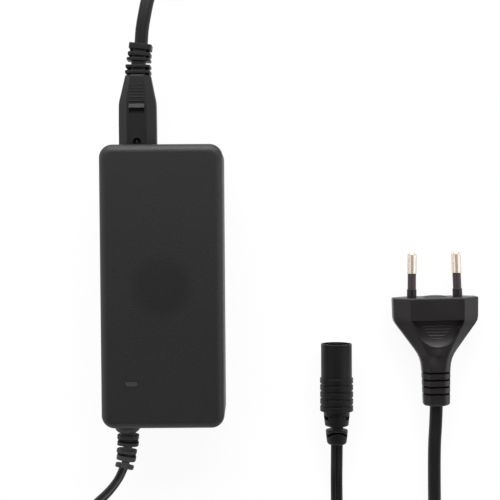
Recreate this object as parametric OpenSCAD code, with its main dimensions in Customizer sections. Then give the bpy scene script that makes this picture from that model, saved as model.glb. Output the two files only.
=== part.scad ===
// Laptop power adapter: a closed two-part case with a plug-in mains lead and a fixed output lead.
// Millimetres. The case lies on z = 0, centred on the origin. The mains inlet faces +Y.

/* [Case] */
// Width of the case
case_w = 48.6; // [47:0.2:56]
// Length of the case
case_l = 112; // [110:1:130]
// Height of the case
case_h = 30; // [29:0.5:36]
// Thickness of the case walls
wall = 2.2; // [1.8:0.1:2.4]
// Radius of the four upright corners
corner_r = 5.2; // [4.2:0.2:7]
// Radius of the long top and bottom edges
edge_r = 3.2; // [2.6:0.2:3.8]
// Depth and height of the groove along each side of the seam
seam_d = 0.3; // [0.2:0.1:0.5]
// Height of the tongue that locates the top shell
lip_h = 1.6; // [1:0.2:2.4]
// Thickness of that tongue
lip_t = 0.9; // [0.7:0.1:1.1]
// Length of the window over the indicator lamp
lens_l = 5; // [4:0.2:6]
// Width of the window over the indicator lamp
lens_w = 2; // [1.6:0.2:2.6]

/* [Circuit board] */
// Thickness of the board
board_t = 1.6; // [1:0.2:2]
// Height of the posts that hold the board
post_h = 3.4; // [3:0.2:4.2]
// Diameter of the posts
post_d = 5; // [4.4:0.2:5.6]
// Diameter of the pegs on the posts
peg_d = 2.2; // [1.8:0.1:2.6]
// Diameter of the large capacitor
bulk_d = 16; // [14:0.5:17]
// Length of the large capacitor
bulk_l = 25; // [20:0.5:26]
// Width of the transformer core
core_w = 26; // [24:0.5:27]
// Depth of the transformer core
core_l = 15; // [13:0.5:16]
// Height of the transformer core
core_h = 16; // [14:0.5:18]
// Diameter of the transformer's centre leg
leg_d = 8.6; // [7:0.2:9.4]
// Diameter of the output capacitors
cap_d = 9; // [8:0.5:9.5]
// Height of the output capacitors
cap_h = 15; // [12:0.5:17]
// Thickness of the heat sinks
sink_t = 1.6; // [1.2:0.2:2]
// Height of the heat sinks
sink_h = 16; // [14:0.5:18]

/* [Mains inlet] */
// Distance of the inlet from the centre line
inlet_x = 10.1; // [9.4:0.1:10.4]
// Width of the connector nose
nose_w = 15.2; // [14.6:0.1:15.6]
// Thickness of the connector nose
nose_t = 7.6; // [7.2:0.1:8]
// Length of the connector nose
nose_l = 13; // [11:0.5:15]
// Diameter of the inlet pins
inlet_pin_d = 2.36; // [2.2:0.02:2.5]
// Distance between the inlet pins
inlet_pitch = 8.6; // [8:0.1:9]
// Thickness of the inlet housing
inlet_wall = 1.5; // [1.2:0.1:1.6]

/* [Mains lead] */
// Thickness of the connector grip
grip_t = 10.4; // [9.6:0.2:11]
// Length of the straight part of the grip
grip_l = 17.6; // [16:0.2:20]
// Length of the tapered part of the grip
taper_l = 10.9; // [9:0.1:13]
// Width of the flat mains cord
mains_w = 5.4; // [5:0.1:5.6]
// Thickness of the flat mains cord
mains_t = 3.3; // [3:0.1:3.5]

/* [Mains plug] */
// Width of the plug body at its face
plug_w = 35.2; // [34.6:0.1:36]
// Thickness of the plug body
plug_t = 13.7; // [13:0.1:14.4]
// Diameter of the plug pins
pin_d = 4; // [3.8:0.02:4.1]
// Length of the plug pins
pin_l = 19.2; // [18.5:0.1:19.5]
// Length of the bare metal tip of each pin
tip_l = 9.4; // [8.5:0.1:10]
// Distance between the pins at the plug body
pin_pitch = 19; // [18.6:0.1:19.4]
// Angle by which each pin leans inwards
pin_lean = 1.4; // [0:0.1:1.8]

/* [Output lead] */
// Width of the flat output cord
out_w = 5; // [4.6:0.1:5.2]
// Thickness of the flat output cord
out_t = 2.7; // [2.5:0.1:3]
// Distance of the output cord from the centre line
outlet_x = 15.5; // [14.5:0.1:16]
// Diameter of the connector barrel
barrel_d = 12.6; // [12:0.1:13.2]
// Diameter of the grip ribs on the connector
rib_d = 13.7; // [13.4:0.1:14.4]
// Number of grip ribs on the connector
rib_n = 5; // [3:1:5]
// Diameter of the mouth of the connector
mouth_d = 8; // [7.6:0.1:8.4]
// Depth of the mouth of the connector
mouth_l = 3; // [2.4:0.1:4]
// Bore of the contact sleeve
sleeve_d = 5.6; // [5.4:0.1:5.8]
// Length of the contact sleeve
sleeve_l = 9.5; // [8.5:0.1:10.5]
// Diameter of the centre contact
contact_d = 2.1; // [1.9:0.1:2.5]

/* [Clearances] */
// Gap between parts that are assembled for good
fit = 0.15; // [0.1:0.05:0.2]
// Gap around the nose of the mains connector in its inlet
nose_gap = 0.35; // [0.3:0.05:0.5]
// Gap around each inlet pin in its contact
contact_gap = 0.12; // [0.1:0.02:0.2]
// Gap between turns of a coiled cord
turn_gap = 0.6; // [0.5:0.1:1]

/* [Hidden] */

$fn = 48;
eps = 0.01;
seam_z = case_h / 2;
cavity_w = case_w - 2 * wall;
cavity_l = case_l - 2 * wall;
inner_edge_r = max(edge_r - wall, 0.4);
end_y = case_l / 2;

// Circuit board, which lies on posts
board_z = wall + post_h;
board_top = board_z + board_t;
board_w = cavity_w - 2;
board_l = cavity_l - 5;
// Post places: distance in from the side and from the nearer end of the cavity
post_inset = post_d / 2 + 1;
post_places = [
    [cavity_w / 2 - post_inset, cavity_l / 2 - 8],
    [post_inset - cavity_w / 2, cavity_l / 2 - 24],
    [cavity_w / 2 - post_inset, 7 - cavity_l / 2],
    [post_inset - cavity_w / 2, 12 - cavity_l / 2]
];
peg_over = 1;
sheet_t = 0.4;
spreader_t = 0.8;
spreader_z = case_h - wall - spreader_t;

// Mains inlet and the connector nose that fits it
recess_w = nose_w + 2 * nose_gap;
recess_t = nose_t + 2 * nose_gap;
recess_l = nose_l + 0.6;
housing_w = recess_w + 2 * inlet_wall;
housing_t = recess_t + 2 * inlet_wall;
housing_back = 2;
flange_over = 0.9;
flange_t = 1.4;
flange_w = housing_w + 2 * flange_over;
flange_h = housing_t + 2 * flange_over;
contact_wall = 0.5;
contact_r = inlet_pin_d / 2 + contact_gap;
pin_reach = nose_l - 3;

// Room left between one component and the next along the board
row_gap = 0.6;
// Sizes of the components
fuse_d = 8.2;
fuse_h = 7.6;
fuse_cap_d = 6.4;
fuse_cap_h = 0.6;
film_size = [14, 6.5, 12];
film_r = 0.6;
bridge_size = [14, 3.5, 10.8];
bridge_cut = 2.2;
choke_in = 3.8;
choke_out = 7;
choke_h = 5.6;
winding_t = 1.1;
winding_turn = 110;
core_back = 3.4;
winding_d = core_w - 2 * core_back - 1;
disc_d = 8.4;
disc_t = 3.6;
opto_size = [4.6, 6.4, 3.4];
drum_d = 9;
drum_h = 9;
drum_flange_t = 1.6;
drum_core_d = 6.6;
chip_size = [6, 4, 1.5];
tab_w = 10;
tab_body_t = 4.4;
tab_body_h = 9;
tab_t = 1.3;
tab_hole_d = 3.6;
lead_l = 2;
lead_w = 0.8;
lead_pitch = 2.54;
foot_l = 5;
primary_sink_l = 18;
secondary_sink_l = 16;
// Places: the mains side is set out from the inlet, the output side from the other end
sink_x = board_w / 2 - 2 * row_gap;
inlet_tail = 2;
inlet_back_y = end_y - recess_l - housing_back - inlet_tail - inlet_pin_d / 2;
choke_r = choke_out + winding_t;
choke_at = [post_d + row_gap + choke_r + 1 - cavity_w / 2, inlet_back_y - row_gap - choke_r];
film_at = [board_w / 2 - row_gap - film_size[0] / 2, inlet_back_y - film_size[1] / 2];
bridge_at = [board_w / 2 - row_gap - bridge_size[0] / 2, choke_at[1] - bridge_size[1] / 2 - row_gap];
fuse_at = [fuse_d / 2 + row_gap, board_l / 2 - row_gap - fuse_d / 2 - 1.5];
bulk_y = choke_at[1] - choke_r - row_gap - bulk_d / 2;
secondary_y = 22 - end_y;
transformer_y = (bulk_y - bulk_d / 2 + secondary_y + cap_d / 2) / 2;
device_x = sink_x - sink_t - tab_body_t - row_gap;
caps_x = [device_x - 1.5 * cap_d - row_gap, device_x - cap_d / 2];
disc_at = [3 * row_gap - board_w / 2, transformer_y + disc_d / 2 - 1.7];
opto_at = [opto_size[0] / 2 + 0.2 - board_w / 2, transformer_y - opto_size[1] / 2 - 2.5];
drum_at = [caps_x[0] - cap_d / 2 - row_gap - drum_d / 2, secondary_y + 4];
chip_at = [-4, bulk_y + 6];
led_x = -12.1;
led_y = 18 - end_y;
led_h = 5;

// Output strain relief: groove in the case wall, then blocks on a core that bends with the cord
relief_neck_r = 3.1;
relief_flange_r = 4.6;
relief_flange_t = 1.8;
relief_collar_r = 5.2;
// Blocks of that relief: start, length, width, thickness, shift and turn
output_blocks = [
    [4.9, 1.85, 8.8, 7.4, -0.17, 0], [7.65, 1.6, 8.7, 7.4, -0.12, 3],
    [11, 1.55, 8.2, 7.2, 0.4, 6], [13.35, 1.95, 7.9, 7, 0.55, 8],
    [17, 1.4, 7.3, 5.2, 1.2, 22]
];
// Core inside the blocks, and the thin webs between the blocks of each pair
output_cores = [
    [3, 2.6, 5.9, 5.9, -0.17, 0], [5, 5, 3.1, 5, -0.15, 2],
    [9.4, 4.2, 3.1, 4.7, 0.02, 7], [13, 5.2, 3, 4.4, 0.25, 13]
];
output_webs = [[6.2, 1.8, 8.3, 1.6, -0.17, 1], [12.2, 1.5, 7.6, 1.6, 0.45, 7]];

// Flat top of the connector grip, and its strain relief
grip_flat = 8;
grip_gap = 0.3;
grip_end_w = 10.3;
grip_end_t = 8.4;
grip_end = grip_l + taper_l;
// Blocks of that relief: start behind the grip, length, width, thickness, shift and turn
mains_blocks = [
    [0.55, 1.35, 10.15, 8.2, 0.32, 0.5], [2.95, 1.3, 9.95, 8, 0.41, 1],
    [5.4, 1.25, 9.5, 7.7, 0.64, 4], [7.65, 1.6, 9.2, 7.5, 0.93, 4.5],
    [10.4, 2.2, 9.1, 7.3, 1.26, 7]
];
// Core inside the blocks, and the thin webs between the blocks of each group
mains_cores = [[-1, 7.6, 5.7, 7, 0.3, 2], [4.8, 7, 5.4, 6.5, 0.6, 6]];
mains_webs = [[-1, 5, 9.2, 2, 0.34, 1], [5.8, 6.2, 8.2, 1.8, 0.72, 5]];

// Plug: place of the face's centre, and how far the plug is turned on the table
plug_at = [111.14, -6.3];
plug_turn = 0.8;
relief_start = 29.6;
relief_end = 44.85;
plug_relief_w = 11.8;
plug_relief_t = 9.2;
groove_pitch = 2.93;
groove_w = 0.85;
bridge_l = 12;
bridge_w = pin_pitch + 6;
bridge_t = plug_t - 6;
pin_core_r = pin_d / 2 - 0.7;
// The sleeve lies a little below the bare tip
sleeve_step = 0.3;
sleeve_gap = 0.06;
// The thin part of each pin starts this far out of the plug's face
sleeve_start = 3.4;

// Output connector: centre of its front face
connector_at = [70.35, -25.5];
connector_z = rib_d / 2;
connector_l = 41.7;
rib_pitch = 2.9;
rib_t = 1.9;
rib_start = 14;
groove_d = 12.8;
insulator_l = sleeve_l + 2;
sleeve_wall = 0.5;

// Coils: [centre, outer radius, radial step, layer step, turns in, turns out, start angle, direction]
tie_t = 0.8;
tie_w = 6;
tie_gap = 0.3;
coil_rings = 24;
coil_y = -137;
mains_coil = [
    [128, coil_y], 33, mains_w + turn_gap, mains_t + turn_gap, 2, 2.11, 0, -1
];
output_coil = [
    [53.4, coil_y], 34, out_w + turn_gap, out_t + turn_gap, 3, 2.86, -90, 1
];
mains_coil_z = tie_t + 0.1 + mains_t / 2;
output_coil_z = tie_t + 0.1 + out_t / 2;

// Where each cord leaves its strain relief, and the way it faces there
mains_block = mains_blocks[4];
mains_exit = [sin(mains_block[5]), cos(mains_block[5]), 0];
mains_start = [
    mains_block[4] - inlet_x, end_y + grip_end + mains_block[0], seam_z
] + (mains_block[1] + eps) * mains_exit;
output_block = output_blocks[4];
output_roll = 68;
output_exit = [-sin(output_block[5]), -cos(output_block[5]), 0];
output_start = [
    -outlet_x - output_block[4], -end_y - output_block[0], seam_z
] + (output_block[1] + eps) * output_exit;

// Height of each cord's middle where it lies on the table
mains_low = mains_t / 2 + 0.05;
output_low = out_t / 2 + 0.05;
// Route of the mains cord, from the connector round to its coil: x, y, z and roll
mains_run = [
    [-8.1, 103, 15, 0], [-7.1, 109, 14.8, 0], [-5.6, 116, 14.2, 0],
    [-2.7, 124, 13, 0], [2, 131.5, 11, 0], [9, 137, 8.5, 0], [19, 140, 5.8, 0],
    [31, 141.2, 3.6, 0], [44, 141.5, 2.2, 0],
    [58, 141.5, mains_low, 0], [72, 141.5, mains_low, 0], [86, 141.5, mains_low, 0],
    [100, 141.5, mains_low, 0], [114, 141.5, mains_low, 0], [127, 139.6, mains_low, 0],
    [139, 135, mains_low, 0], [149, 127.5, mains_low, 0], [156, 118, mains_low, 0],
    [160, 107, mains_low, 0],
    for (y = [95:-14:-101]) [161, y, mains_low, 0],
    [161, -114, 1.8, 0], [161, -124, 2.3, 0]
];
// Route of the mains cord from its coil up to the plug
mains_tail = [
    [108.7, -107, 5.4, 0], [110.8, -101, 4.3, 0], [111.5, -94, 3.4, 0], [111.6, -85, 2.9, 0],
    [111.6, -76, 2.9, 0], [111.6, -67.5, 3.8, 0], [111.7, -59.5, 5.6, 0]
];
// Route of the output cord, from the strain relief to its coil
output_run = [
    [-18.95, -78.2, 14.6, 68], [-20.95, -81.4, 13.3, 66],
    [-23.8, -85, 12.1, 60], [-27.4, -88.8, 10.3, 52], [-31.6, -93.2, 7.9, 42],
    [-35.4, -98.8, 5.3, 30], [-37.8, -105.6, 3.2, 18], [-38.2, -113.6, 1.8, 7],
    [-36, -122.6, output_low, 0], [-31.2, -131.4, output_low, 0], [-24.2, -139.8, output_low, 0],
    [-15, -147.8, output_low, 0], [-4, -155, output_low, 0], [8, -161.2, output_low, 0],
    [21, -166.2, output_low, 0], [34, -169.6, 1.6, 0], [43, -170.8, 2, 0]
];
// Route of the output cord from its coil up to the connector
output_tail = [
    [73, -107.6, 5.5, 0], [71.2, -102, 4.4, 0], [70.6, -95.5, 3.5, 0],
    [70.5, -88.5, 3.1, 0], [70.45, -81, 3.6, 0], [70.4, -74, 5.3, 0]
];

// ---------------------------------------------------------------- shapes shared by several parts

// Block with rounded upright corners, and a rounded lower edge
module soft_block(w, l, r, e, h) {
    for (x = [-1, 1], y = [-1, 1])
        translate([x * (w / 2 - r), y * (l / 2 - r), 0])
            rotate_extrude()
                intersection() {
                    soft_section(2 * r, e, h);
                    square([r, h]);
                }
    translate([0, l / 2 - r, 0])
        rotate([90, 0, 0])
            linear_extrude(l - 2 * r)
                soft_section(w, e, h);
    translate([r - w / 2, 0, 0])
        rotate([90, 0, 90])
            linear_extrude(w - 2 * r)
                soft_section(l, e, h);
}

// Section of width w and height h with two rounded lower corners
module soft_section(w, e, h) {
    translate([-w / 2, e])
        square([w, h - e]);
    translate([e - w / 2, 0])
        square([w - 2 * e, h]);
    for (x = [-1, 1])
        translate([x * (w / 2 - e), e])
            circle(e);
}

// Plate with upright sides and rounded corners
module plate(w, l, r, h) {
    linear_extrude(h)
        round_rect(w, l, r);
}

module round_rect(w, l, r) {
    square([w, l - 2 * r], center = true);
    square([w - 2 * r, l], center = true);
    for (x = [-1, 1], y = [-1, 1])
        translate([x * (w / 2 - r), y * (l / 2 - r)])
            circle(r);
}

// Cylinder along +Y from the origin
module rod(r, l) {
    rotate([-90, 0, 0])
        cylinder(r = r, h = l);
}

// Rounded slab, square to the Y axis, from y to y + l
module cross_slab(w, t, r, y, l) {
    translate([0, y + l, 0])
        rotate([90, 0, 0])
            linear_extrude(l)
                round_rect(w, t, r);
}

// Outline of the connector nose: two rounds joined by a narrower waist
module figure_eight(w, t) {
    waist = 0.78;
    for (x = [-1, 1])
        translate([x * (w - t) / 2, 0])
            circle(t / 2);
    square([w - t, t * waist], center = true);
}

// Solid skin over a list of rings, each with the same number of points
module skin(rings) {
    n = len(rings);
    m = len(rings[0]);
    last = (n - 1) * m;
    sides = [
        for (i = [0:n - 2], j = [0:m - 1])
            let (a = i * m + j, b = i * m + (j + 1) % m)
            each [[a, a + m, b + m], [a, b + m, b]]
    ];
    ends = [
        for (j = [1:m - 2])
            each [[0, j, j + 1], [last, last + j + 1, last + j]]
    ];
    polyhedron([for (ring = rings) each ring], concat(sides, ends));
}

// Eight-sided ring across the Y axis: half width, half flat, half height, half side, at y
function grip_ring(hw, hf, ht, hs, y, x = 0) = [
    [x + hw, y, -hs], [x + hw, y, hs], [x + hf, y, ht], [x - hf, y, ht],
    [x - hw, y, hs], [x - hw, y, -hs], [x - hf, y, -ht], [x + hf, y, -ht]
];

function unit(v) = v / norm(v);

// Section of a flat cord, as points across and up
function cord_section(w, t, sides) =
    sides == 6
    ? [[w / 2, 0], [w * 0.28, t / 2], [-w * 0.28, t / 2],
       [-w / 2, 0], [-w * 0.28, -t / 2], [w * 0.28, -t / 2]]
    : [[w / 2, -t * 0.2], [w / 2, t * 0.2], [w * 0.3, t / 2], [-w * 0.3, t / 2],
       [-w / 2, t * 0.2], [-w / 2, -t * 0.2], [-w * 0.3, -t / 2], [w * 0.3, -t / 2]];

// Ring of a cord's section, square to a direction, rolled about it
function cord_ring(at, along, section) =
    let (
        side = unit(cross(along, [0, 0, 1])),
        up = cross(side, along),
        roll = len(at) > 3 ? at[3] : 0,
        across = side * cos(roll) + up * sin(roll),
        over = up * cos(roll) - side * sin(roll)
    )
    [for (p = section) [at[0], at[1], at[2]] + across * p[0] + over * p[1]];

function place(p) = [p[0], p[1], p[2]];

// Rings along a route; the first and last are square to the given directions
function cord_rings(route, first, last, section) =
    let (n = len(route) - 1)
    [
        for (i = [0:n])
            let (
                along = i == 0 ? first
                    : i == n ? last
                    : unit(place(route[i + 1]) - place(route[i - 1]))
            )
            cord_ring(route[i], along, section)
    ];

module cord(route, first, last, w, t) {
    skin(cord_rings(route, first, last, cord_section(w, t, 8)));
}

// Coil wound inwards on the table, then outwards on top of itself
function coil_turns(c) = c[4] + 0.5 + c[5];
function coil_radius(c, turn) =
    let (back = c[4] + 0.25)
    turn < back ? c[1] - c[2] * turn : c[1] - c[2] * (2 * back - turn);
function coil_rise(c, turn) = c[3] * min(max(2 * (turn - c[4]), 0), 1);
function coil_angle(c, turn) = c[6] + c[7] * 360 * turn;
function coil_point(c, z, turn) =
    let (r = coil_radius(c, turn), a = coil_angle(c, turn))
    [c[0][0] + r * cos(a), c[0][1] + r * sin(a), z + coil_rise(c, turn)];
function coil_heading(c, turn) =
    let (a = coil_angle(c, turn) + c[7] * 90)
    [cos(a), sin(a), 0];
function coil_start(c, z, lead) = coil_point(c, z, 0) - lead * coil_heading(c, 0);
function coil_end(c, z, lead) =
    let (t = coil_turns(c))
    coil_point(c, z, t) + lead * coil_heading(c, t);

function coil_route(c, z, lead) =
    let (turns = coil_turns(c), steps = ceil(turns * coil_rings))
    concat(
        [coil_start(c, z, lead)],
        [for (i = [0:steps]) coil_point(c, z, turns * i / steps)],
        [coil_end(c, z, lead)]
    );

// Least distance between points on turns that lie beside or on each other
function least_gap(rings) =
    min([
        for (i = [0:len(rings) - 1])
            for (k = [1:ceil(len(rings) / coil_rings)], d = [-1, 0, 1])
                let (j = i + k * coil_rings + d)
                if (j < len(rings))
                    min([for (p = rings[i], q = rings[j]) norm(p - q)])
    ]);

module coil(c, z, w, t) {
    route = coil_route(c, z, w);
    rings = cord_rings(
        route, coil_heading(c, 0), coil_heading(c, coil_turns(c)), cord_section(w, t, 6)
    );
    echo(least_gap_in_coil = least_gap(rings));
    skin(rings);
}

// Strap round a coil at the given turn, drawn square to the radius there
module coil_tie(c, z, w, t, turn) {
    radii = [for (k = [0:floor(coil_turns(c) - turn)]) coil_radius(c, turn + k)];
    inner = min(radii) - w / 2 - tie_gap;
    outer = max(radii) + w / 2 + tie_gap;
    // A straight strap cuts the inner round short by this much
    bow = inner - sqrt(inner * inner - tie_w * tie_w / 4) + tie_gap;
    length = outer - inner + bow;
    height = c[3] + t + 0.2;
    translate([c[0][0], c[0][1], 0])
        rotate([0, 0, coil_angle(c, turn)])
            translate([inner - bow, tie_w / 2, 0])
                rotate([90, 0, 0])
                    linear_extrude(tie_w)
                        difference() {
                            translate([-tie_t, 0])
                                square([length + 2 * tie_t, height + 2 * tie_t]);
                            translate([0, tie_t])
                                square([length, height]);
                        }
}

// ---------------------------------------------------------------- case

// Lower half of the case: full width up to the seam groove, then set in by the groove's depth
module case_half(w_cut) {
    soft_block(case_w, case_l, corner_r, edge_r, seam_z - seam_d);
    plate_h = seam_z - edge_r;
    translate([0, 0, edge_r])
        plate(case_w - 2 * seam_d, case_l - 2 * seam_d, corner_r - seam_d, plate_h);
    if (w_cut > 0)
        translate([0, 0, edge_r])
            plate(case_w - w_cut, case_l - w_cut, corner_r - w_cut / 2, plate_h + lip_h);
}

module cavity() {
    translate([0, 0, wall])
        soft_block(cavity_w, cavity_l, corner_r - wall, inner_edge_r, case_h);
}

// Openings in the case wall for the inlet and for the output strain relief, with room for their flanges
module wall_openings() {
    translate([-inlet_x, end_y - wall - 1, seam_z])
        cube([housing_w + 2 * fit, 3 * wall + 2, housing_t + 2 * fit], center = true);
    translate([-inlet_x, end_y - wall - fit - flange_t / 2, seam_z])
        cube([flange_w + 2 * fit, flange_t + 2 * fit, flange_h + 2 * fit], center = true);
    translate([-outlet_x, -end_y - 1, seam_z])
        rod(relief_neck_r + fit, wall + 2);
    translate([-outlet_x, wall - end_y, seam_z])
        rod(relief_flange_r + fit, relief_flange_t + 2 * fit);
}

module bottom_shell() {
    color("#26272a") {
        difference() {
            case_half(2 * (wall - lip_t));
            cavity();
            wall_openings();
        }
        for (p = post_places) {
            translate([p[0], p[1], wall - eps])
                cylinder(d = post_d, h = post_h + eps);
            translate([p[0], p[1], wall])
                cylinder(d = peg_d, h = post_h + board_t + peg_over);
        }
    }
}

module top_shell() {
    rebate = wall - lip_t - fit;
    color("#2a2b2e") {
        difference() {
            translate([0, 0, case_h])
                mirror([0, 0, 1])
                    difference() {
                        case_half(0);
                        cavity();
                        translate([0, 0, seam_z - lip_h - fit])
                            plate(case_w - 2 * rebate, case_l - 2 * rebate, corner_r - rebate, case_h);
                    }
            wall_openings();
            translate([led_x, led_y, case_h - wall - 1])
                plate(lens_l + 2 * fit, lens_w + 2 * fit, lens_w / 2, wall + 2);
        }
        // Columns that hold the board down on its posts
        for (p = post_places)
            translate([p[0], p[1], board_top + fit])
                difference() {
                    cylinder(d = post_d, h = case_h - wall - board_top - fit + eps);
                    translate([0, 0, -eps])
                        cylinder(d = peg_d + 2 * fit, h = peg_over + 1);
                }
    }
}

module light_pipe() {
    flange = 1.2;
    pipe_z = board_top + led_h + 2 * fit;
    color("#8d9296")
        translate([led_x, led_y, 0]) {
            translate([0, 0, pipe_z])
                plate(lens_l, lens_w, lens_w / 2 - fit, case_h - pipe_z - 0.1);
            translate([0, 0, spreader_z - flange - fit])
                plate(lens_l + 2 * flange, lens_w + 2 * flange, lens_w / 2, flange);
        }
}

module heat_spreader() {
    margin = 1.4;
    color("#b9bcc0")
        translate([0, 0, spreader_z])
            linear_extrude(spreader_t)
                difference() {
                    round_rect(cavity_w - 2 * margin, cavity_l - 2 * margin, 2);
                    translate([led_x, led_y])
                        round_rect(lens_l + 1, lens_w + 1, lens_w / 2);
                    for (p = post_places)
                        translate(p)
                            circle(d = post_d + 2 * fit);
                }
}

module insulation_sheet() {
    margin = 1.2;
    color("#d9d2b4")
        translate([0, 0, wall])
            linear_extrude(sheet_t)
                difference() {
                    round_rect(cavity_w - 2 * margin, cavity_l - 2 * margin, 2);
                    for (p = post_places)
                        translate(p)
                            circle(d = post_d + 2 * fit);
                }
}

// ---------------------------------------------------------------- circuit board and what it carries

module circuit_board() {
    color("#2f6b46")
        translate([0, 0, board_z])
            linear_extrude(board_t)
                difference() {
                    square([board_w, board_l], center = true);
                    for (p = post_places)
                        translate(p)
                            circle(d = peg_d + 2 * fit);
                }
}

module indicator_led() {
    color("#79d48a")
        translate([led_x, led_y, board_top]) {
            plate(lens_l - 1, lens_w + 0.4, 0.4, led_h);
            plate(lens_l, lens_w + 1.2, 0.4, 1);
        }
}

module fuse() {
    color("#e8e2cf")
        translate([fuse_at[0], fuse_at[1], board_top]) {
            cylinder(d = fuse_d, h = fuse_h);
            cylinder(d = fuse_cap_d, h = fuse_h + fuse_cap_h);
        }
}

module x_capacitor() {
    color("#d8b13a")
        translate([film_at[0], film_at[1], board_top])
            plate(film_size[0], film_size[1], film_r, film_size[2]);
}

// Ring core that stands clear of the board on its windings
module choke_core() {
    color("#3c3f45")
        translate([choke_at[0], choke_at[1], board_top + winding_t])
            choke_section(0, 360);
}

module choke_windings() {
    color("#b0622f")
        translate([choke_at[0], choke_at[1], board_top + winding_t])
            for (a = [-winding_turn / 2, 180 - winding_turn / 2])
                rotate([0, 0, a])
                    difference() {
                        choke_section(winding_t, winding_turn);
                        choke_section(0, 360);
                    }
}

module choke_section(grow, turn) {
    rotate_extrude(angle = turn)
        translate([choke_in - grow, -grow])
            square([choke_out - choke_in + 2 * grow, choke_h + 2 * grow]);
}

// Upright rectifier block with one corner cut off
module bridge_rectifier() {
    w = bridge_size[0] / 2;
    h = bridge_size[2];
    color("#1f1f22")
        translate([bridge_at[0], bridge_at[1], board_top])
            rotate([90, 0, 0])
                linear_extrude(bridge_size[1], center = true)
                    polygon([[-w, 0], [w, 0], [w, h - bridge_cut], [w - bridge_cut, h], [-w, h]]);
}

module bulk_capacitor() {
    color("#30343f")
        translate([-bulk_l / 2 - 3, bulk_y, board_top + bulk_d / 2])
            rotate([0, 90, 0])
                difference() {
                    cylinder(d = bulk_d, h = bulk_l);
                    translate([0, 0, 2])
                        rotate_extrude()
                            translate([bulk_d / 2 - 0.5, 0])
                                square([1, 1]);
                }
}

// Power device with a metal tab, its back against a heat sink at +X
module tab_device(tab_h) {
    translate([-tab_body_t, -tab_w / 2, lead_l]) {
        cube([tab_body_t, tab_w, tab_body_h]);
        translate([tab_body_t - tab_t, 0, 0])
            difference() {
                cube([tab_t, tab_w, tab_h]);
                translate([-1, tab_w / 2, tab_h - 0.8 * tab_hole_d])
                    rotate([0, 90, 0])
                        cylinder(d = tab_hole_d, h = tab_t + 2);
            }
    }
    for (k = [-1:1])
        translate([-tab_body_t / 2, k * lead_pitch - lead_w / 2, 0])
            cube([0.6, lead_w, lead_l + eps]);
}

// Sheet stood on its edge, its top bent inwards over the device
module heat_sink(y, l) {
    translate([sink_x - sink_t, y - l / 2, board_top]) {
        cube([sink_t, l, sink_h]);
        translate([-foot_l, 0, sink_h - sink_t])
            cube([foot_l + eps, l, sink_t]);
    }
}

module primary_heat_sink() {
    color("#9aa0a6")
        heat_sink(bulk_y, primary_sink_l);
}

module power_transistor() {
    color("#202226")
        translate([sink_x - sink_t, bulk_y, board_top])
            tab_device(sink_h - sink_t - lead_l - row_gap);
}

module secondary_heat_sink() {
    color("#9aa0a6")
        heat_sink(secondary_y, secondary_sink_l);
}

module output_rectifier() {
    color("#202226")
        translate([sink_x - sink_t, secondary_y, board_top])
            tab_device(sink_h - sink_t - lead_l - row_gap);
}

// Ferrite core: outer frame with a round centre leg
module transformer_core() {
    window_w = core_w - 2 * core_back;
    window_h = core_h - 2 * core_back;
    color("#3a3c42")
        translate([0, transformer_y, board_top]) {
            difference() {
                translate([-core_w / 2, -core_l / 2, 0])
                    cube([core_w, core_l, core_h]);
                translate([-window_w / 2, -core_l / 2 - 1, core_back])
                    cube([window_w, core_l + 2, window_h]);
            }
            cylinder(d = leg_d, h = core_h);
        }
}

module transformer_winding() {
    color("#c9a23c")
        translate([0, transformer_y, board_top + core_back])
            difference() {
                cylinder(d = winding_d, h = core_h - 2 * core_back);
                translate([0, 0, -1])
                    cylinder(d = leg_d + 2 * fit, h = core_h);
            }
}

// Disc stood on its edge beside the transformer
module y_capacitor() {
    color("#3f74b5")
        translate([disc_at[0], disc_at[1], board_top + disc_d / 2])
            rotate([0, 90, 0])
                cylinder(d = disc_d, h = disc_t);
}

module optocoupler() {
    color("#1c1c1f")
        translate([opto_at[0], opto_at[1], board_top])
            plate(opto_size[0], opto_size[1], 0.3, opto_size[2]);
}

module output_capacitors() {
    vent = 0.4;
    color("#2b3550")
        for (x = caps_x)
            translate([x, secondary_y, board_top])
                difference() {
                    cylinder(d = cap_d, h = cap_h);
                    translate([0, 0, 4 * vent])
                        rotate_extrude()
                            translate([cap_d / 2 - vent, 0])
                                square([1, 2 * vent]);
                }
}

module output_inductor() {
    color("#4a4c52")
        translate([drum_at[0], drum_at[1], board_top]) {
            cylinder(d = drum_d, h = drum_flange_t);
            cylinder(d = drum_core_d, h = drum_h);
            translate([0, 0, drum_h - drum_flange_t])
                cylinder(d = drum_d, h = drum_flange_t);
        }
}

// Small chip on the underside of the board
module controller_chip() {
    color("#1a1a1c")
        translate([chip_at[0], chip_at[1], board_z - chip_size[2]])
            plate(chip_size[0], chip_size[1], 0.2, chip_size[2]);
}

// ---------------------------------------------------------------- mains inlet

module inlet_housing() {
    color("#1d1e21")
        translate([-inlet_x, end_y, seam_z])
            difference() {
                union() {
                    cross_slab(housing_w, housing_t, 1, -recess_l - housing_back, recess_l + housing_back);
                    cross_slab(flange_w, flange_h, 1, -wall - flange_t - fit, flange_t);
                }
                translate([0, 1, 0])
                    rotate([90, 0, 0])
                        linear_extrude(recess_l + 1)
                            figure_eight(recess_w, recess_t);
                for (x = [-1, 1])
                    translate([x * inlet_pitch / 2, -recess_l - housing_back - 1, 0])
                        rod(inlet_pin_d / 2, housing_back + 2);
            }
}

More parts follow.
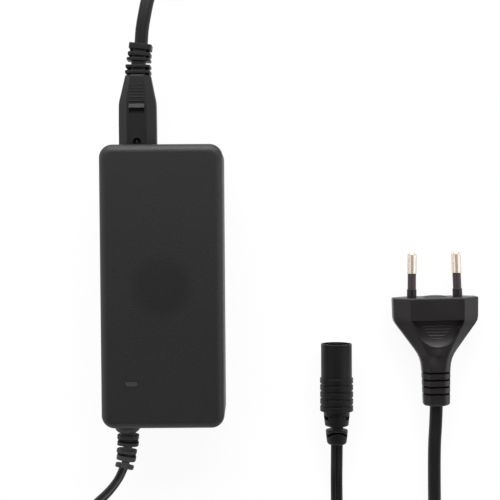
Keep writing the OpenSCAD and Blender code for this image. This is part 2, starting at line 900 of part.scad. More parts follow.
// Contact pins: bent down to the board behind the housing
module inlet_pins() {
    tail_y = -recess_l - housing_back - inlet_tail;
    color("#c8cacd")
        for (x = [-1, 1])
            translate([-inlet_x + x * inlet_pitch / 2, end_y, seam_z]) {
                translate([0, tail_y, 0])
                    rod(inlet_pin_d / 2, pin_reach - tail_y - recess_l - eps);
                translate([0, tail_y, 0])
                    sphere(inlet_pin_d / 2);
                translate([0, tail_y, board_top - seam_z])
                    cylinder(r = inlet_pin_d / 2, h = seam_z - board_top);
            }
}

// ---------------------------------------------------------------- mains lead: connector

function taper_at(share) = grip_l + share * taper_l;

module mains_connector_body() {
    hs = grip_t * 0.22;
    color("#2c2c2e")
        translate([-inlet_x, end_y, seam_z])
            difference() {
                union() {
                    // Nose
                    translate([0, grip_gap + eps, 0])
                        rotate([90, 0, 0])
                            linear_extrude(nose_l + grip_gap)
                                figure_eight(nose_w, nose_t);
                    // Grip: straight, then drawn in towards the cord
                    skin([
                        grip_ring(grip_end_w / 2, grip_flat * 0.38, grip_end_t / 2, hs, grip_end, 0.15),
                        grip_ring(nose_w * 0.39, grip_flat * 0.42, grip_t * 0.45, hs, taper_at(0.68)),
                        grip_ring(nose_w * 0.45, grip_flat * 0.47, grip_t * 0.49, hs, taper_at(0.3)),
                        grip_ring(nose_w / 2 - 0.15, grip_flat / 2, grip_t / 2, hs, taper_at(0)),
                        grip_ring(nose_w / 2, grip_flat / 2, grip_t / 2, hs, grip_gap)
                    ]);
                    connector_relief();
                    // Thin ridges and a raised bar for the fingers
                    for (side = [-1, 1]) {
                        for (k = [0:4])
                            translate([0, grip_l + 1.8 + 1.25 * k, side * (grip_t / 2 - 0.37 - 0.1 * k)])
                                cube([6.6 - 0.25 * k, 0.45, 0.8], center = true);
                        translate([0, grip_l - 1.3, side * grip_t / 2])
                            cube([6.2, 1.9, 0.8], center = true);
                    }
                }
                for (side = [-1, 1]) {
                    translate([0, grip_l - 3.4, side * grip_t / 2])
                        cube([6.4, 2, 1.2], center = true);
                    translate([0, 1, side * (grip_t / 2 + 0.2)])
                        finger_notch();
                }
                for (x = [-1, 1])
                    translate([x * inlet_pitch / 2, -nose_l - 1, 0])
                        rod(contact_r + contact_wall + fit / 3, nose_l + 1);
            }
}

// Half-round notch at the front of the grip
module finger_notch() {
    notch_r = 1.6;
    translate([0, 0.6, 0])
        cylinder(r = notch_r, h = 2.4, center = true);
    translate([0, -0.7, 0])
        cube([2 * notch_r, 2.6, 2.4], center = true);
}

// Strain relief on the grip, bent a little to one side as the cord is
module connector_relief() {
    for (b = concat(mains_cores, mains_blocks, mains_webs))
        translate([b[4], grip_end + b[0], 0])
            rotate([0, 0, -b[5]])
                cross_slab(b[2], b[3], min(1.4, b[3] * 0.4), 0, b[1]);
}

module mains_connector_contacts() {
    color("#c9a24a")
        for (x = [-1, 1])
            translate([-inlet_x + x * inlet_pitch / 2, end_y - nose_l + 0.5, seam_z])
                difference() {
                    rod(contact_r + contact_wall, nose_l - 1);
                    translate([0, -1, 0])
                        rod(contact_r, nose_l - 1);
                }
}

// ---------------------------------------------------------------- mains lead: plug

// Plug body sections: distance behind the face, then width, flat and thickness as shares
plug_sections = [
    [0, 1, 0.61, 1], [8, 0.99, 0.61, 1], [9.7, 0.97, 0.6, 1], [11.3, 0.92, 0.56, 0.98],
    [14.5, 0.785, 0.47, 0.93], [17.9, 0.645, 0.38, 0.87], [21.2, 0.51, 0.3, 0.81],
    [23.4, 0.425, 0.25, 0.77], [25.4, 0.375, 0.22, 0.73], [27.4, 0.347, 0.2, 0.7],
    [relief_start, 0.335, 0.19, 0.67]
];

module at_plug() {
    translate([plug_at[0], plug_at[1], plug_t / 2])
        rotate([0, 0, plug_turn])
            children();
}

module mains_plug_body() {
    color("#2b2829")
        at_plug()
            difference() {
                union() {
                    skin([
                        for (s = plug_sections)
                            grip_ring(
                                plug_w * s[1] / 2, plug_w * s[2] / 2, plug_t * s[3] / 2,
                                plug_t * s[3] * 0.2, -s[0]
                            )
                    ]);
                    cross_slab(
                        plug_relief_w, plug_relief_t, 3, -relief_end, relief_end - relief_start + 1
                    );
                    for (x = [-1, 1])
                        at_pin(x)
                            translate([0, -1, 0])
                                rod(pin_d / 2 + 0.08, sleeve_start + 1);
                }
                for (side = [-1, 1])
                    mirror([0, 0, side < 0 ? 1 : 0])
                        finger_recess();
                relief_grooves();
                for (x = [-1, 1])
                    at_pin(x)
                        translate([0, -bridge_l, 0])
                            rod(pin_d / 2, bridge_l + 5);
                translate([-bridge_w / 2, -bridge_l - 1, -bridge_t / 2])
                    cube([bridge_w, bridge_l - 1, bridge_t]);
            }
}

// Pin axis, leaning inwards from its place on the face
module at_pin(x) {
    translate([x * pin_pitch / 2, 0, 0])
        rotate([0, 0, x * pin_lean])
            children();
}

// Scoop for the fingertip: upright at the end nearer the face, with five short ribs on its floor
module finger_recess() {
    recess_w = 18.2;
    recess_l = 11.75;
    recess_y = -8.95;
    floor_z = plug_t / 2 - 2.1;
    rib_h = 0.5;
    difference() {
        translate([0, recess_y, floor_z])
            intersection() {
                scale([recess_w / 2 / recess_l, 1, 1])
                    cylinder(r = recess_l, h = 4);
                translate([-recess_w / 2, -recess_l - 1, 0])
                    cube([recess_w, recess_l + 1, 4]);
            }
        for (k = [0:4])
            translate([1.15 * k - 6.2, recess_y - 2.7 - 1.4 * k, floor_z - 1])
                cube([12.4 - 2.3 * k, 0.5, 1 + rib_h]);
    }
}

// Grooves round the plug's strain relief
module relief_grooves() {
    for (k = [0:3])
        translate([0, -relief_start - 1.6 - groove_pitch * k, 0])
            difference() {
                cube([plug_relief_w + 1, groove_w, plug_relief_t + 1], center = true);
                cube([plug_relief_w - 1, 2 * groove_w, plug_relief_t - 3], center = true);
            }
}

module mains_plug_bridge() {
    color("#8e8a80")
        at_plug()
            difference() {
                translate([-bridge_w / 2, -bridge_l - 1, -bridge_t / 2])
                    cube([bridge_w, bridge_l - 1, bridge_t]);
                for (x = [-1, 1])
                    at_pin(x)
                        translate([0, -bridge_l - 4, 0])
                            rod(pin_d / 2, bridge_l + 9);
            }
}

// Pins: full size at the bare tip, thinner under the sleeve
module mains_plug_pins() {
    color("#d9d0c0")
        at_plug()
            for (x = [-1, 1])
                at_pin(x)
                    difference() {
                        union() {
                            translate([0, -bridge_l + 0.5, 0])
                                rod(pin_d / 2, bridge_l - 0.5 + pin_l - pin_d / 2);
                            translate([0, pin_l - pin_d / 2, 0])
                                sphere(pin_d / 2);
                        }
                        translate([0, sleeve_start, 0])
                            difference() {
                                rod(pin_d, pin_l - tip_l - sleeve_start);
                                translate([0, -1, 0])
                                    rod(pin_core_r, pin_l);
                            }
                    }
}

module mains_pin_sleeves() {
    color("#3a3537")
        at_plug()
            for (x = [-1, 1])
                at_pin(x)
                    translate([0, sleeve_start, 0])
                        difference() {
                            rod(pin_d / 2 - sleeve_step, pin_l - tip_l - sleeve_start - sleeve_gap);
                            translate([0, -1, 0])
                                rod(pin_core_r, pin_l);
                        }
}

// ---------------------------------------------------------------- output lead

module output_strain_relief() {
    color("#2a2a2b")
        translate([-outlet_x, -end_y, seam_z])
            mirror([0, 1, 0]) {
                // Flange inside the case wall, neck through it and flared collar outside
                rotate([-90, 0, 0])
                    rotate_extrude()
                        polygon([
                            [0, -wall - fit - relief_flange_t],
                            [relief_flange_r, -wall - fit - relief_flange_t],
                            [relief_flange_r, -wall - fit],
                            [relief_neck_r, -wall - fit], [relief_neck_r, fit],
                            [relief_collar_r, fit], [relief_collar_r, 1.9], [4.9, 2.7], [4.35, 3.4],
                            [3.8, 3.85], [relief_neck_r, 4.15], [0, 4.15]
                        ]);
                bent_slabs(output_cores, 1.4);
                bent_slabs(output_blocks, 3.1);
                bent_slabs(output_webs, 0.7);
            }
}

// Slabs along the output relief: start, length, width, thickness, shift and turn
module bent_slabs(slabs, r) {
    for (b = slabs)
        translate([-b[4], b[0], 0])
            rotate([0, 0, b[5]])
                cross_slab(b[2], b[3], min(r, b[3] * 0.42), 0, b[1]);
}

module output_wires() {
    wire_r = 0.9;
    reach = 4;
    color("#b02e2a")
        for (x = [-1, 1])
            translate([-outlet_x + x * 1.5, -end_y + wall + 2, seam_z]) {
                rod(wire_r, reach);
                translate([0, reach, 0])
                    sphere(wire_r);
                translate([0, reach, board_top - seam_z])
                    cylinder(r = wire_r, h = seam_z - board_top);
            }
}

// Connector body: turned outline from the front face back to the cord
module output_connector_body() {
    back_z = rib_start + rib_pitch * rib_n;
    color("#242223")
        at_connector()
            difference() {
                union() {
                    cylinder(d = barrel_d, h = rib_start);
                    translate([0, 0, rib_start - 1])
                        cylinder(d = groove_d, h = back_z - rib_start + 0.5);
                    for (k = [0:rib_n - 1])
                        translate([0, 0, rib_start + rib_pitch * k])
                            grip_rib();
                    // Collar, neck and the tapered last block
                    translate([0, 0, back_z])
                        rotate_extrude()
                            polygon([
                                [0, -1], [5.37, -1], [5.37, 1.8], [5.05, 4], [4.9, 5.6], [2.7, 5.7],
                                [2.7, 6.9], [4.58, 7], [4.45, 9.5], [4.1, 12.2], [3.5, connector_l - back_z],
                                [0, connector_l - back_z]
                            ]);
                }
                translate([0, 0, -1])
                    cylinder(d = mouth_d, h = mouth_l + 1);
                cylinder(d = sleeve_d + 2 * sleeve_wall, h = mouth_l + insulator_l);
                // Short slots either side behind the collar, and one over the last block
                for (x = [-1, 1])
                    translate([x * 5.2, 0, back_z + 2.3])
                        cube([2.6, 4, 0.9], center = true);
                for (y = [-1, 1])
                    translate([0, y * 5.2, back_z + 8.9])
                        cube([8, 3.6, 1], center = true);
            }
}

module grip_rib() {
    r = rib_d / 2;
    rotate_extrude()
        polygon([
            [0, 0], [groove_d / 2, 0], [r - 0.1, 0.25], [r, 0.6], [r, rib_t - 0.6],
            [r - 0.1, rib_t - 0.25], [groove_d / 2, rib_t], [0, rib_t]
        ]);
}

module at_connector() {
    translate([connector_at[0], connector_at[1], connector_z])
        rotate([90, 0, 0])
            children();
}

module output_contact_sleeve() {
    color("#c9c5bb")
        at_connector()
            translate([0, 0, mouth_l])
                difference() {
                    cylinder(d = sleeve_d + 2 * sleeve_wall, h = sleeve_l);
                    translate([0, 0, -1])
                        cylinder(d = sleeve_d, h = sleeve_l + 2);
                }
}

module output_contact_insulator() {
    color("#e4e1d8")
        at_connector()
            translate([0, 0, mouth_l + sleeve_l])
                difference() {
                    cylinder(d = sleeve_d + 2 * sleeve_wall, h = insulator_l - sleeve_l);
                    translate([0, 0, -1])
                        cylinder(d = contact_d, h = insulator_l);
                }
}

module output_centre_contact() {
    color("#d8d3c6")
        at_connector() {
            translate([0, 0, mouth_l + 0.6 + contact_d / 2])
                cylinder(d = contact_d, h = insulator_l - 0.6 - contact_d / 2);
            translate([0, 0, mouth_l + 0.6 + contact_d / 2])
                sphere(d = contact_d);
        }
}

// ---------------------------------------------------------------- cords

module output_cord_run() {
    first = concat(output_start, output_roll);
    route = concat([first], output_run, [coil_start(output_coil, output_coil_z, out_w + eps)]);
    color("#232122")
        cord(route, output_exit, coil_heading(output_coil, 0), out_w, out_t);
}

module output_cord_coil() {
    color("#232122")
        coil(output_coil, output_coil_z, out_w, out_t);
}

module output_cord_tail() {
    end = [connector_at[0], connector_at[1] - connector_l - eps, connector_z];
    route = concat([coil_end(output_coil, output_coil_z, out_w + eps)], output_tail, [end]);
    color("#232122")
        cord(route, coil_heading(output_coil, coil_turns(output_coil)), [0, 1, 0], out_w, out_t);
}

module output_cord_tie() {
    color("#333335")
        coil_tie(output_coil, output_coil_z, out_w, out_t, 0.75);
}

module mains_cord_run() {
    route = concat([mains_start], mains_run, [coil_start(mains_coil, mains_coil_z, mains_w + eps)]);
    color("#2a2829")
        cord(route, mains_exit, coil_heading(mains_coil, 0), mains_w, mains_t);
}

module mains_cord_coil() {
    color("#2a2829")
        coil(mains_coil, mains_coil_z, mains_w, mains_t);
}

module mains_cord_tail() {
    last = [-sin(plug_turn), cos(plug_turn), 0];
    end = [plug_at[0], plug_at[1], plug_t / 2] - (relief_end + eps) * last;
    route = concat([coil_end(mains_coil, mains_coil_z, mains_w + eps)], mains_tail, [end]);
    color("#2a2829")
        cord(route, coil_heading(mains_coil, coil_turns(mains_coil)), last, mains_w, mains_t);
}

module mains_cord_tie() {
    color("#333335")
        coil_tie(mains_coil, mains_coil_z, mains_w, mains_t, 0.25);
}

// ---------------------------------------------------------------- every part

top_shell();
bottom_shell();
light_pipe();
indicator_led();
heat_spreader();
insulation_sheet();
circuit_board();
inlet_housing();
inlet_pins();
fuse();
x_capacitor();
y_capacitor();
choke_core();
choke_windings();
bridge_rectifier();
bulk_capacitor();
primary_heat_sink();
power_transistor();
transformer_core();
transformer_winding();
secondary_heat_sink();
output_rectifier();
output_capacitors();
output_inductor();
optocoupler();
controller_chip();
output_wires();
output_strain_relief();
output_cord_run();
output_cord_coil();
output_cord_tail();
output_cord_tie();
output_connector_body();
output_contact_sleeve();
output_contact_insulator();
output_centre_contact();
mains_connector_body();
mains_connector_contacts();
mains_cord_run();
mains_cord_coil();
mains_cord_tail();
mains_cord_tie();
mains_plug_body();
mains_plug_bridge();
mains_plug_pins();
mains_pin_sleeves();
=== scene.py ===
from collections import namedtuple
from math import ceil, copysign, cos, exp, pi, radians, sin, sqrt, tan

import bmesh
import bpy
import numpy as np
from mathutils import Matrix, Vector


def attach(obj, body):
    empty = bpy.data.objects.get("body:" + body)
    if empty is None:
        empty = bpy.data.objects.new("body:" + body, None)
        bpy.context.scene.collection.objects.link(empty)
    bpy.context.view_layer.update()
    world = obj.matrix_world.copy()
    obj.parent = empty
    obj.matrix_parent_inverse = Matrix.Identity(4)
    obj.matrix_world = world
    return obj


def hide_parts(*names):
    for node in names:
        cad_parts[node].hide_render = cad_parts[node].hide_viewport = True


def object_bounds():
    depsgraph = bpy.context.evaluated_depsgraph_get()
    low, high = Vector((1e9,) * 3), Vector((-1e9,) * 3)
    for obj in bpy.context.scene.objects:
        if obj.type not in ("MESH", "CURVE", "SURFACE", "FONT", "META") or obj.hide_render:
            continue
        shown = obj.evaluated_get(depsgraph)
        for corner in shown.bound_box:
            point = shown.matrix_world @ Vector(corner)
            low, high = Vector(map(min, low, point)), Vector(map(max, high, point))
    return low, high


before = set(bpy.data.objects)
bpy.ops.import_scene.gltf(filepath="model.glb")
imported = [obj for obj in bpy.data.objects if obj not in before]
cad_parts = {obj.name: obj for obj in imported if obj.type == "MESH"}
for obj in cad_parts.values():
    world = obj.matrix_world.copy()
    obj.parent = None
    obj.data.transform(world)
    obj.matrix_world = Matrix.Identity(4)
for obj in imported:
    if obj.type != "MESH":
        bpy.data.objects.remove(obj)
CAD_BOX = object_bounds()

# Lengths below are in millimetres and become metres on the way into Blender; angles are in degrees.
MM = 0.001

# ------------------------------------------------------------------ sizes

CASE_L = 112
SEAM_Z = 15
# Place of the mains inlet and of the output lead across the ends of the case
INLET_X = -10.1
OUTLET_X = -15.5
# End of the mains connector's grip, where its strain relief starts, from the end of the case
GRIP_END = 28.5
# Middle of the plug's front face, its turn, and the end of its strain relief behind that face
PLUG_AT = Vector((111.14, -6.3, 6.85))
PLUG_TURN = 0.8
PLUG_END = 44.85
# Pins of the plug: distance from its middle, turn outwards, radius and length
PIN_X, PIN_TURN, PIN_R, PIN_L = 9.5, 1.4, 2, 19.2
# Middle of the output connector's mouth, and its length
CONNECTOR_AT = Vector((70.35, -25.5, 6.85))
CONNECTOR_L = 41.7

# Last block of each strain relief, where the cord comes out
Block = namedtuple("Block", "start length shift turn")
MAINS_BLOCK = Block(10.4, 2.2, 1.26, 7)
OUTPUT_BLOCK = Block(17, 1.4, 1.2, 22)

# ------------------------------------------------------------------ camera

LENS_MM = 72
SENSOR_MM = 36
CAMERA_AT = Vector((34.8, 24.5, 420.5)) * MM
CAMERA_TILT = radians(1.5)
CAMERA_ROLL = radians(0.4)


def make_camera():
    forward = Vector((0, -sin(CAMERA_TILT), -cos(CAMERA_TILT)))
    level = Vector((0, cos(CAMERA_TILT), -sin(CAMERA_TILT)))
    side = Vector((1, 0, 0))
    right = side * cos(CAMERA_ROLL) - level * sin(CAMERA_ROLL)
    up = side * sin(CAMERA_ROLL) + level * cos(CAMERA_ROLL)
    data = bpy.data.cameras.new("camera")
    data.lens = LENS_MM
    data.sensor_width = SENSOR_MM
    data.clip_start = 0.01
    data.clip_end = 20
    camera = bpy.data.objects.new("camera", data)
    turned = Matrix((right, up, -forward)).transposed().to_4x4()
    camera.matrix_world = Matrix.Translation(CAMERA_AT) @ turned
    bpy.context.scene.collection.objects.link(camera)
    bpy.context.scene.camera = camera


make_camera()

# ------------------------------------------------------------------ materials

# Sockets of the Mix node that carry its two colours and its result
MIX_A, MIX_B, MIX_RESULT = 6, 7, 2
# Usual range of a noise
NOISE_LOW, NOISE_HIGH = 0.3, 0.7
# How far a plastic's specks and broad patches go above and below its colour
SPECKLE, MOTTLE = 0.25, 0.08
# Size of those patches, in grains, and how far a plastic's roughness goes up and down with them
PATCH_GRAINS = 40
PATCH_ROUGH = 0.05
# Faint disc on the case's top: its middle, its edge from full to none, and its darkness
DISC_AT = (0, 0, CAD_BOX[1][2])
DISC_IN, DISC_OUT = 8.5, 14
DISC_SHADE = 0.42


def set_range(node, from_low, from_high, to_low, to_high):
    """Sets the two ranges of a Map Range node."""
    sockets = ("From Min", "From Max", "To Min", "To Max")
    for socket, number in zip(sockets, (from_low, from_high, to_low, to_high)):
        node.inputs[socket].default_value = number


class Nodes:
    """A material's node tree, with short calls for the nodes that the finishes share."""

    def __init__(self, name):
        self.material = bpy.data.materials.new(name)
        self.material.use_nodes = True
        self.tree = self.material.node_tree
        self.shader = self.tree.nodes["Principled BSDF"]
        self.place = self.tree.nodes.new("ShaderNodeTexCoord").outputs["Object"]

    def link(self, source, target):
        self.tree.links.new(source, target)

    def stretched(self, scale):
        """The place on the object, stretched by a scale along each axis."""
        node = self.tree.nodes.new("ShaderNodeMapping")
        node.inputs["Scale"].default_value = scale
        self.link(self.place, node.inputs["Vector"])
        return node.outputs["Vector"]

    def noise(self, size_mm, detail, rough, at=None):
        node = self.tree.nodes.new("ShaderNodeTexNoise")
        node.inputs["Scale"].default_value = 1 / (size_mm * MM)
        node.inputs["Detail"].default_value = detail
        node.inputs["Roughness"].default_value = rough
        self.link(at or self.place, node.inputs["Vector"])
        return node.outputs["Fac"]

    def spread(self, value, low, high, from_low=NOISE_LOW, from_high=NOISE_HIGH):
        """The value mapped from its usual range to low..high."""
        node = self.tree.nodes.new("ShaderNodeMapRange")
        set_range(node, from_low, from_high, low, high)
        self.link(value, node.inputs["Value"])
        return node.outputs["Result"]

    def blend(self, kind):
        node = self.tree.nodes.new("ShaderNodeMix")
        node.data_type = "RGBA"
        node.blend_type = kind
        return node

    def mix(self, share, first, second):
        """Two colours, each plain or from a node, mixed by a share from 0 to 1."""
        node = self.blend("MIX")
        self.link(share, node.inputs["Factor"])
        for socket, colour in ((MIX_A, first), (MIX_B, second)):
            if isinstance(colour, tuple):
                node.inputs[socket].default_value = (*colour, 1)
            else:
                self.link(colour, node.inputs[socket])
        return node.outputs[MIX_RESULT]

    def multiply(self, colour, factor):
        node = self.blend("MULTIPLY")
        node.inputs["Factor"].default_value = 1
        self.link(colour, node.inputs[MIX_A])
        self.link(factor, node.inputs[MIX_B])
        return node.outputs[MIX_RESULT]

    def bump(self, height, depth_mm):
        node = self.tree.nodes.new("ShaderNodeBump")
        node.inputs["Strength"].default_value = 1
        node.inputs["Distance"].default_value = depth_mm * MM
        self.link(height, node.inputs["Height"])
        return node.outputs["Normal"]


def shade(colour, factor):
    return tuple(c * factor for c in colour)


def plastic(name, colour, roughness, grain_mm, depth_mm, specular=0.5, coat=0.0):
    """Moulded plastic: fine eroded grain, light and dark specks, and faint broad unevenness."""
    n = Nodes(name)
    grain = n.noise(grain_mm, 2, 0.6)
    broad = n.noise(grain_mm * PATCH_GRAINS, 3, 0.5)
    fine = n.mix(n.spread(grain, 0, 1), shade(colour, 1 - SPECKLE), shade(colour, 1 + SPECKLE))
    uneven = n.mix(n.spread(broad, 0, 1), (1 - MOTTLE,) * 3, (1 + MOTTLE,) * 3)
    gloss = n.spread(broad, roughness - PATCH_ROUGH, roughness + PATCH_ROUGH)
    n.link(n.multiply(fine, uneven), n.shader.inputs["Base Color"])
    n.link(gloss, n.shader.inputs["Roughness"])
    n.link(n.bump(grain, depth_mm), n.shader.inputs["Normal"])
    n.shader.inputs["Specular IOR Level"].default_value = specular
    if coat:
        n.shader.inputs["Coat Weight"].default_value = coat
        n.shader.inputs["Coat Roughness"].default_value = 0.3
    return n.material


def metal(name, colour, roughness, streak=(1, 1, 1), depth_mm=0.004, metallic=1.0, rim=1.0):
    """Metal with fine streaks and slightly uneven gloss; a rim below 1 dims the gloss at its edges."""
    n = Nodes(name)
    lines = n.noise(0.25, 3, 0.6, n.stretched(streak))
    cloud = n.noise(3, 3, 0.5)
    tone = n.mix(n.spread(cloud, 0, 1), shade(colour, 0.94), shade(colour, 1.04))
    n.link(tone, n.shader.inputs["Base Color"])
    n.link(n.spread(lines, roughness * 0.9, roughness * 1.12), n.shader.inputs["Roughness"])
    n.link(n.bump(lines, depth_mm), n.shader.inputs["Normal"])
    n.shader.inputs["Metallic"].default_value = metallic
    n.shader.inputs["Specular Tint"].default_value = (rim, rim, rim, 1)
    return n.material


def case_plastic(name, colour):
    """The case's matt plastic, with a faint darker disc in its colour on the top."""
    n = Nodes(name)
    grain = n.noise(0.5, 3, 0.65)
    speck = n.noise(0.9, 1, 0.5)
    broad = n.noise(22, 2, 0.5)
    fine = n.mix(n.spread(grain, 0, 1), shade(colour, 0.7), shade(colour, 1.3))
    dusty = n.mix(n.spread(speck, 0, 1, 0.72, 0.78), fine, shade(colour, 2.2))
    radius = n.tree.nodes.new("ShaderNodeVectorMath")
    radius.operation = "DISTANCE"
    radius.inputs[1].default_value = DISC_AT
    n.link(n.place, radius.inputs[0])
    disc = n.spread(radius.outputs["Value"], 1, 0, DISC_IN * MM, DISC_OUT * MM)
    uneven = n.mix(n.spread(broad, 0, 1), (0.95,) * 3, (1.05,) * 3)
    # The colour goes darker in a faint disc on the top
    disc_darkened = n.mix(disc, uneven, (DISC_SHADE,) * 3)
    n.link(n.multiply(dusty, disc_darkened), n.shader.inputs["Base Color"])
    n.link(n.spread(grain, 0.47, 0.59), n.shader.inputs["Roughness"])
    n.link(n.bump(grain, 0.05), n.shader.inputs["Normal"])
    n.shader.inputs["Specular IOR Level"].default_value = 0.6
    return n.material


CHARCOAL = (0.0102, 0.0102, 0.0104)
BLACK = (0.0044, 0.0038, 0.0041)
MATERIALS = {
    "case": case_plastic("case_plastic", CHARCOAL),
    "connector": plastic("connector_plastic", (0.0066, 0.0064, 0.0066), 0.5, 0.3, 0.014, specular=0.42),
    "plug": plastic("plug_plastic", (0.0158, 0.0124, 0.0133), 0.42, 0.35, 0.01),
    "output_connector": plastic("output_connector_plastic", BLACK, 0.5, 0.3, 0.012, specular=0.33),
    # The strain relief's rubber is lighter than the case: painted light that makes up for the shadow the
    # case casts over it
    "relief": plastic("relief_rubber", (0.052, 0.051, 0.0515), 0.68, 0.4, 0.015, specular=0.6),
    "mains_cord": plastic("mains_cord_jacket", (0.006, 0.0056, 0.0058), 0.42, 0.5, 0.012, specular=0.46),
    "output_cord": plastic("output_cord_jacket", (0.0055, 0.005, 0.0053), 0.42, 0.5, 0.012, specular=0.46),
    "tie": plastic("tie_plastic", (0.03, 0.03, 0.031), 0.5, 0.3, 0.02),
    "inlet": plastic("inlet_plastic", (0.012, 0.012, 0.013), 0.45, 0.3, 0.01),
    "sleeve": plastic("sleeve_plastic", (0.054, 0.0423, 0.0442), 0.4, 0.3, 0.005),
    "lens": plastic("lamp_window", (0.055, 0.056, 0.061), 0.16, 0.6, 0.002, coat=0.5),
    "lamp": plastic("lamp_clear", (0.3, 0.5, 0.34), 0.2, 0.6, 0.002),
    "nickel": metal("plated_contact", (0.99, 0.87, 0.75), 0.24, (1, 0.08, 1), 0.0015, 0.6, rim=0.6),
    "bright": metal("contact_metal", (0.72, 0.72, 0.73), 0.3, (1, 0.1, 1)),
    "brass": metal("contact_brass", (0.74, 0.55, 0.24), 0.3),
    "aluminium": metal("sink_metal", (0.62, 0.63, 0.65), 0.42, (1, 0.1, 1), 0.01),
    "ferrite": plastic("ferrite", (0.035, 0.036, 0.04), 0.6, 0.2, 0.02),
    "copper": metal("copper_windings", (0.66, 0.29, 0.12), 0.35, (1, 1, 8), 0.06),
    "tape": plastic("winding_tape", (0.6, 0.38, 0.05), 0.35, 0.8, 0.01),
    "board": plastic("board_resist", (0.02, 0.11, 0.045), 0.35, 0.6, 0.01),
    "moulded": plastic("device_plastic", (0.015, 0.015, 0.016), 0.5, 0.2, 0.01),
    "can": plastic("can_sleeve", (0.02, 0.026, 0.05), 0.3, 1.2, 0.006),
    "film": plastic("film_capacitor", (0.6, 0.42, 0.05), 0.35, 0.7, 0.008),
    "disc": plastic("disc_capacitor", (0.05, 0.17, 0.42), 0.3, 0.7, 0.008),
    "cream": plastic("fuse_case", (0.72, 0.68, 0.55), 0.4, 0.6, 0.006),
    "sheet": plastic("insulation_sheet", (0.66, 0.6, 0.42), 0.5, 0.7, 0.005),
    "wire": plastic("wire_insulation", (0.35, 0.03, 0.025), 0.4, 0.5, 0.006),
    "putty": plastic("bridge_plastic", (0.27, 0.25, 0.21), 0.5, 0.5, 0.008),
    "ivory": plastic("insulator_plastic", (0.75, 0.72, 0.65), 0.4, 0.4, 0.005),
}

# Finish of each CAD node; a node that a refined piece replaces keeps it too
NODE_FINISH = {
    "case": ["top_shell", "bottom_shell"],
    "lens": ["light_pipe"],
    "lamp": ["indicator_led"],
    "aluminium": ["heat_spreader", "primary_heat_sink", "secondary_heat_sink"],
    "sheet": ["insulation_sheet"],
    "board": ["circuit_board"],
    "inlet": ["inlet_housing"],
    "bright": ["inlet_pins"],
    "cream": ["fuse"],
    "film": ["x_capacitor"],
    "disc": ["y_capacitor"],
    "ferrite": ["choke_core", "transformer_core", "output_inductor"],
    "copper": ["choke_windings"],
    "tape": ["transformer_winding"],
    "moulded": [
        "bridge_rectifier", "power_transistor", "output_rectifier", "optocoupler", "controller_chip",
    ],
    "can": ["bulk_capacitor", "output_capacitors"],
    "wire": ["output_wires"],
    "relief": ["output_strain_relief"],
    "output_cord": ["output_cord_run", "output_cord_coil", "output_cord_tail"],
    "tie": ["output_cord_tie", "mains_cord_tie"],
    "output_connector": ["output_connector_body"],
    "nickel": ["output_contact_sleeve", "output_centre_contact", "mains_plug_pins"],
    "ivory": ["output_contact_insulator"],
    "connector": ["mains_connector_body"],
    "brass": ["mains_connector_contacts"],
    "mains_cord": ["mains_cord_run", "mains_cord_coil", "mains_cord_tail"],
    "plug": ["mains_plug_body"],
    "putty": ["mains_plug_bridge"],
    "sleeve": ["mains_pin_sleeves"],
}


def finish_nodes():
    for finish, nodes in NODE_FINISH.items():
        for node in nodes:
            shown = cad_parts[node]
            shown.data.materials.clear()
            shown.data.materials.append(MATERIALS[finish])


# ------------------------------------------------------------------ mesh helpers


def make_mesh(name, verts, faces):
    """A closed mesh with its faces turned outwards, from points in millimetres."""
    mesh = bpy.data.meshes.new(name)
    mesh.from_pydata([Vector(v) * MM for v in verts], [], faces)
    work = bmesh.new()
    work.from_mesh(mesh)
    bmesh.ops.recalc_face_normals(work, faces=work.faces)
    work.to_mesh(mesh)
    work.free()
    piece = bpy.data.objects.new(name, mesh)
    bpy.context.scene.collection.objects.link(piece)
    return piece


def loft(name, rings):
    """A closed skin over rings that each have the same number of points."""
    m = len(rings[0])
    verts = [p for ring in rings for p in ring]
    faces = [
        (i * m + j, i * m + (j + 1) % m, (i + 1) * m + (j + 1) % m, (i + 1) * m + j)
        for i in range(len(rings) - 1)
        for j in range(m)
    ]
    last = (len(rings) - 1) * m
    faces += [tuple(range(m)), tuple(range(last, last + m))]
    return make_mesh(name, verts, faces)


def corner_arc(here, back, ahead, cut, steps):
    """Curve that eases a corner, from a cut's length back along one line to the same ahead on the other."""
    a, b = here + back.normalized() * cut, here + ahead.normalized() * cut
    return [
        a * (1 - t) ** 2 + here * 2 * t * (1 - t) + b * t ** 2
        for t in (k / steps for k in range(steps + 1))
    ]


def rounded(corners, radii, steps=5, fills=0):
    """Closed outline through corners, each eased into a curve; fills adds points to each straight side."""
    n = len(corners)
    radii = radii if isinstance(radii, (list, tuple)) else [radii] * n
    fills = fills if isinstance(fills, (list, tuple)) else [fills] * n
    arcs = []
    for i in range(n):
        here = Vector(corners[i])
        back = Vector(corners[i - 1]) - here
        ahead = Vector(corners[(i + 1) % n]) - here
        half = back.angle(ahead) / 2
        cut = min(radii[i] / tan(half), 0.48 * back.length, 0.48 * ahead.length)
        arcs.append(corner_arc(here, back, ahead, cut, steps))
    outline = []
    for i in range(n):
        outline += arcs[i]
        start, end = arcs[i][-1], arcs[(i + 1) % n][0]
        outline += [start.lerp(end, (k + 1) / (fills[i] + 1)) for k in range(fills[i])]
    return outline


def box_outline(w, t, r):
    w, t = w / 2, t / 2
    return rounded([(w, -t), (w, t), (-w, t), (-w, -t)], r)


def chamfered(side_w, face_w, face_h, side_h, side_r, face_r, fills):
    """Outline with cut corners, from half widths and half heights at its sides and at its flat faces."""
    half = [(side_w, -side_h), (side_w, side_h), (face_w, face_h), (-face_w, face_h)]
    corners = half + [(-x, -y) for x, y in half]
    return rounded(corners, [side_r, side_r, face_r, face_r] * 2, 4, fills * 2)


EDGE_STEPS = 4


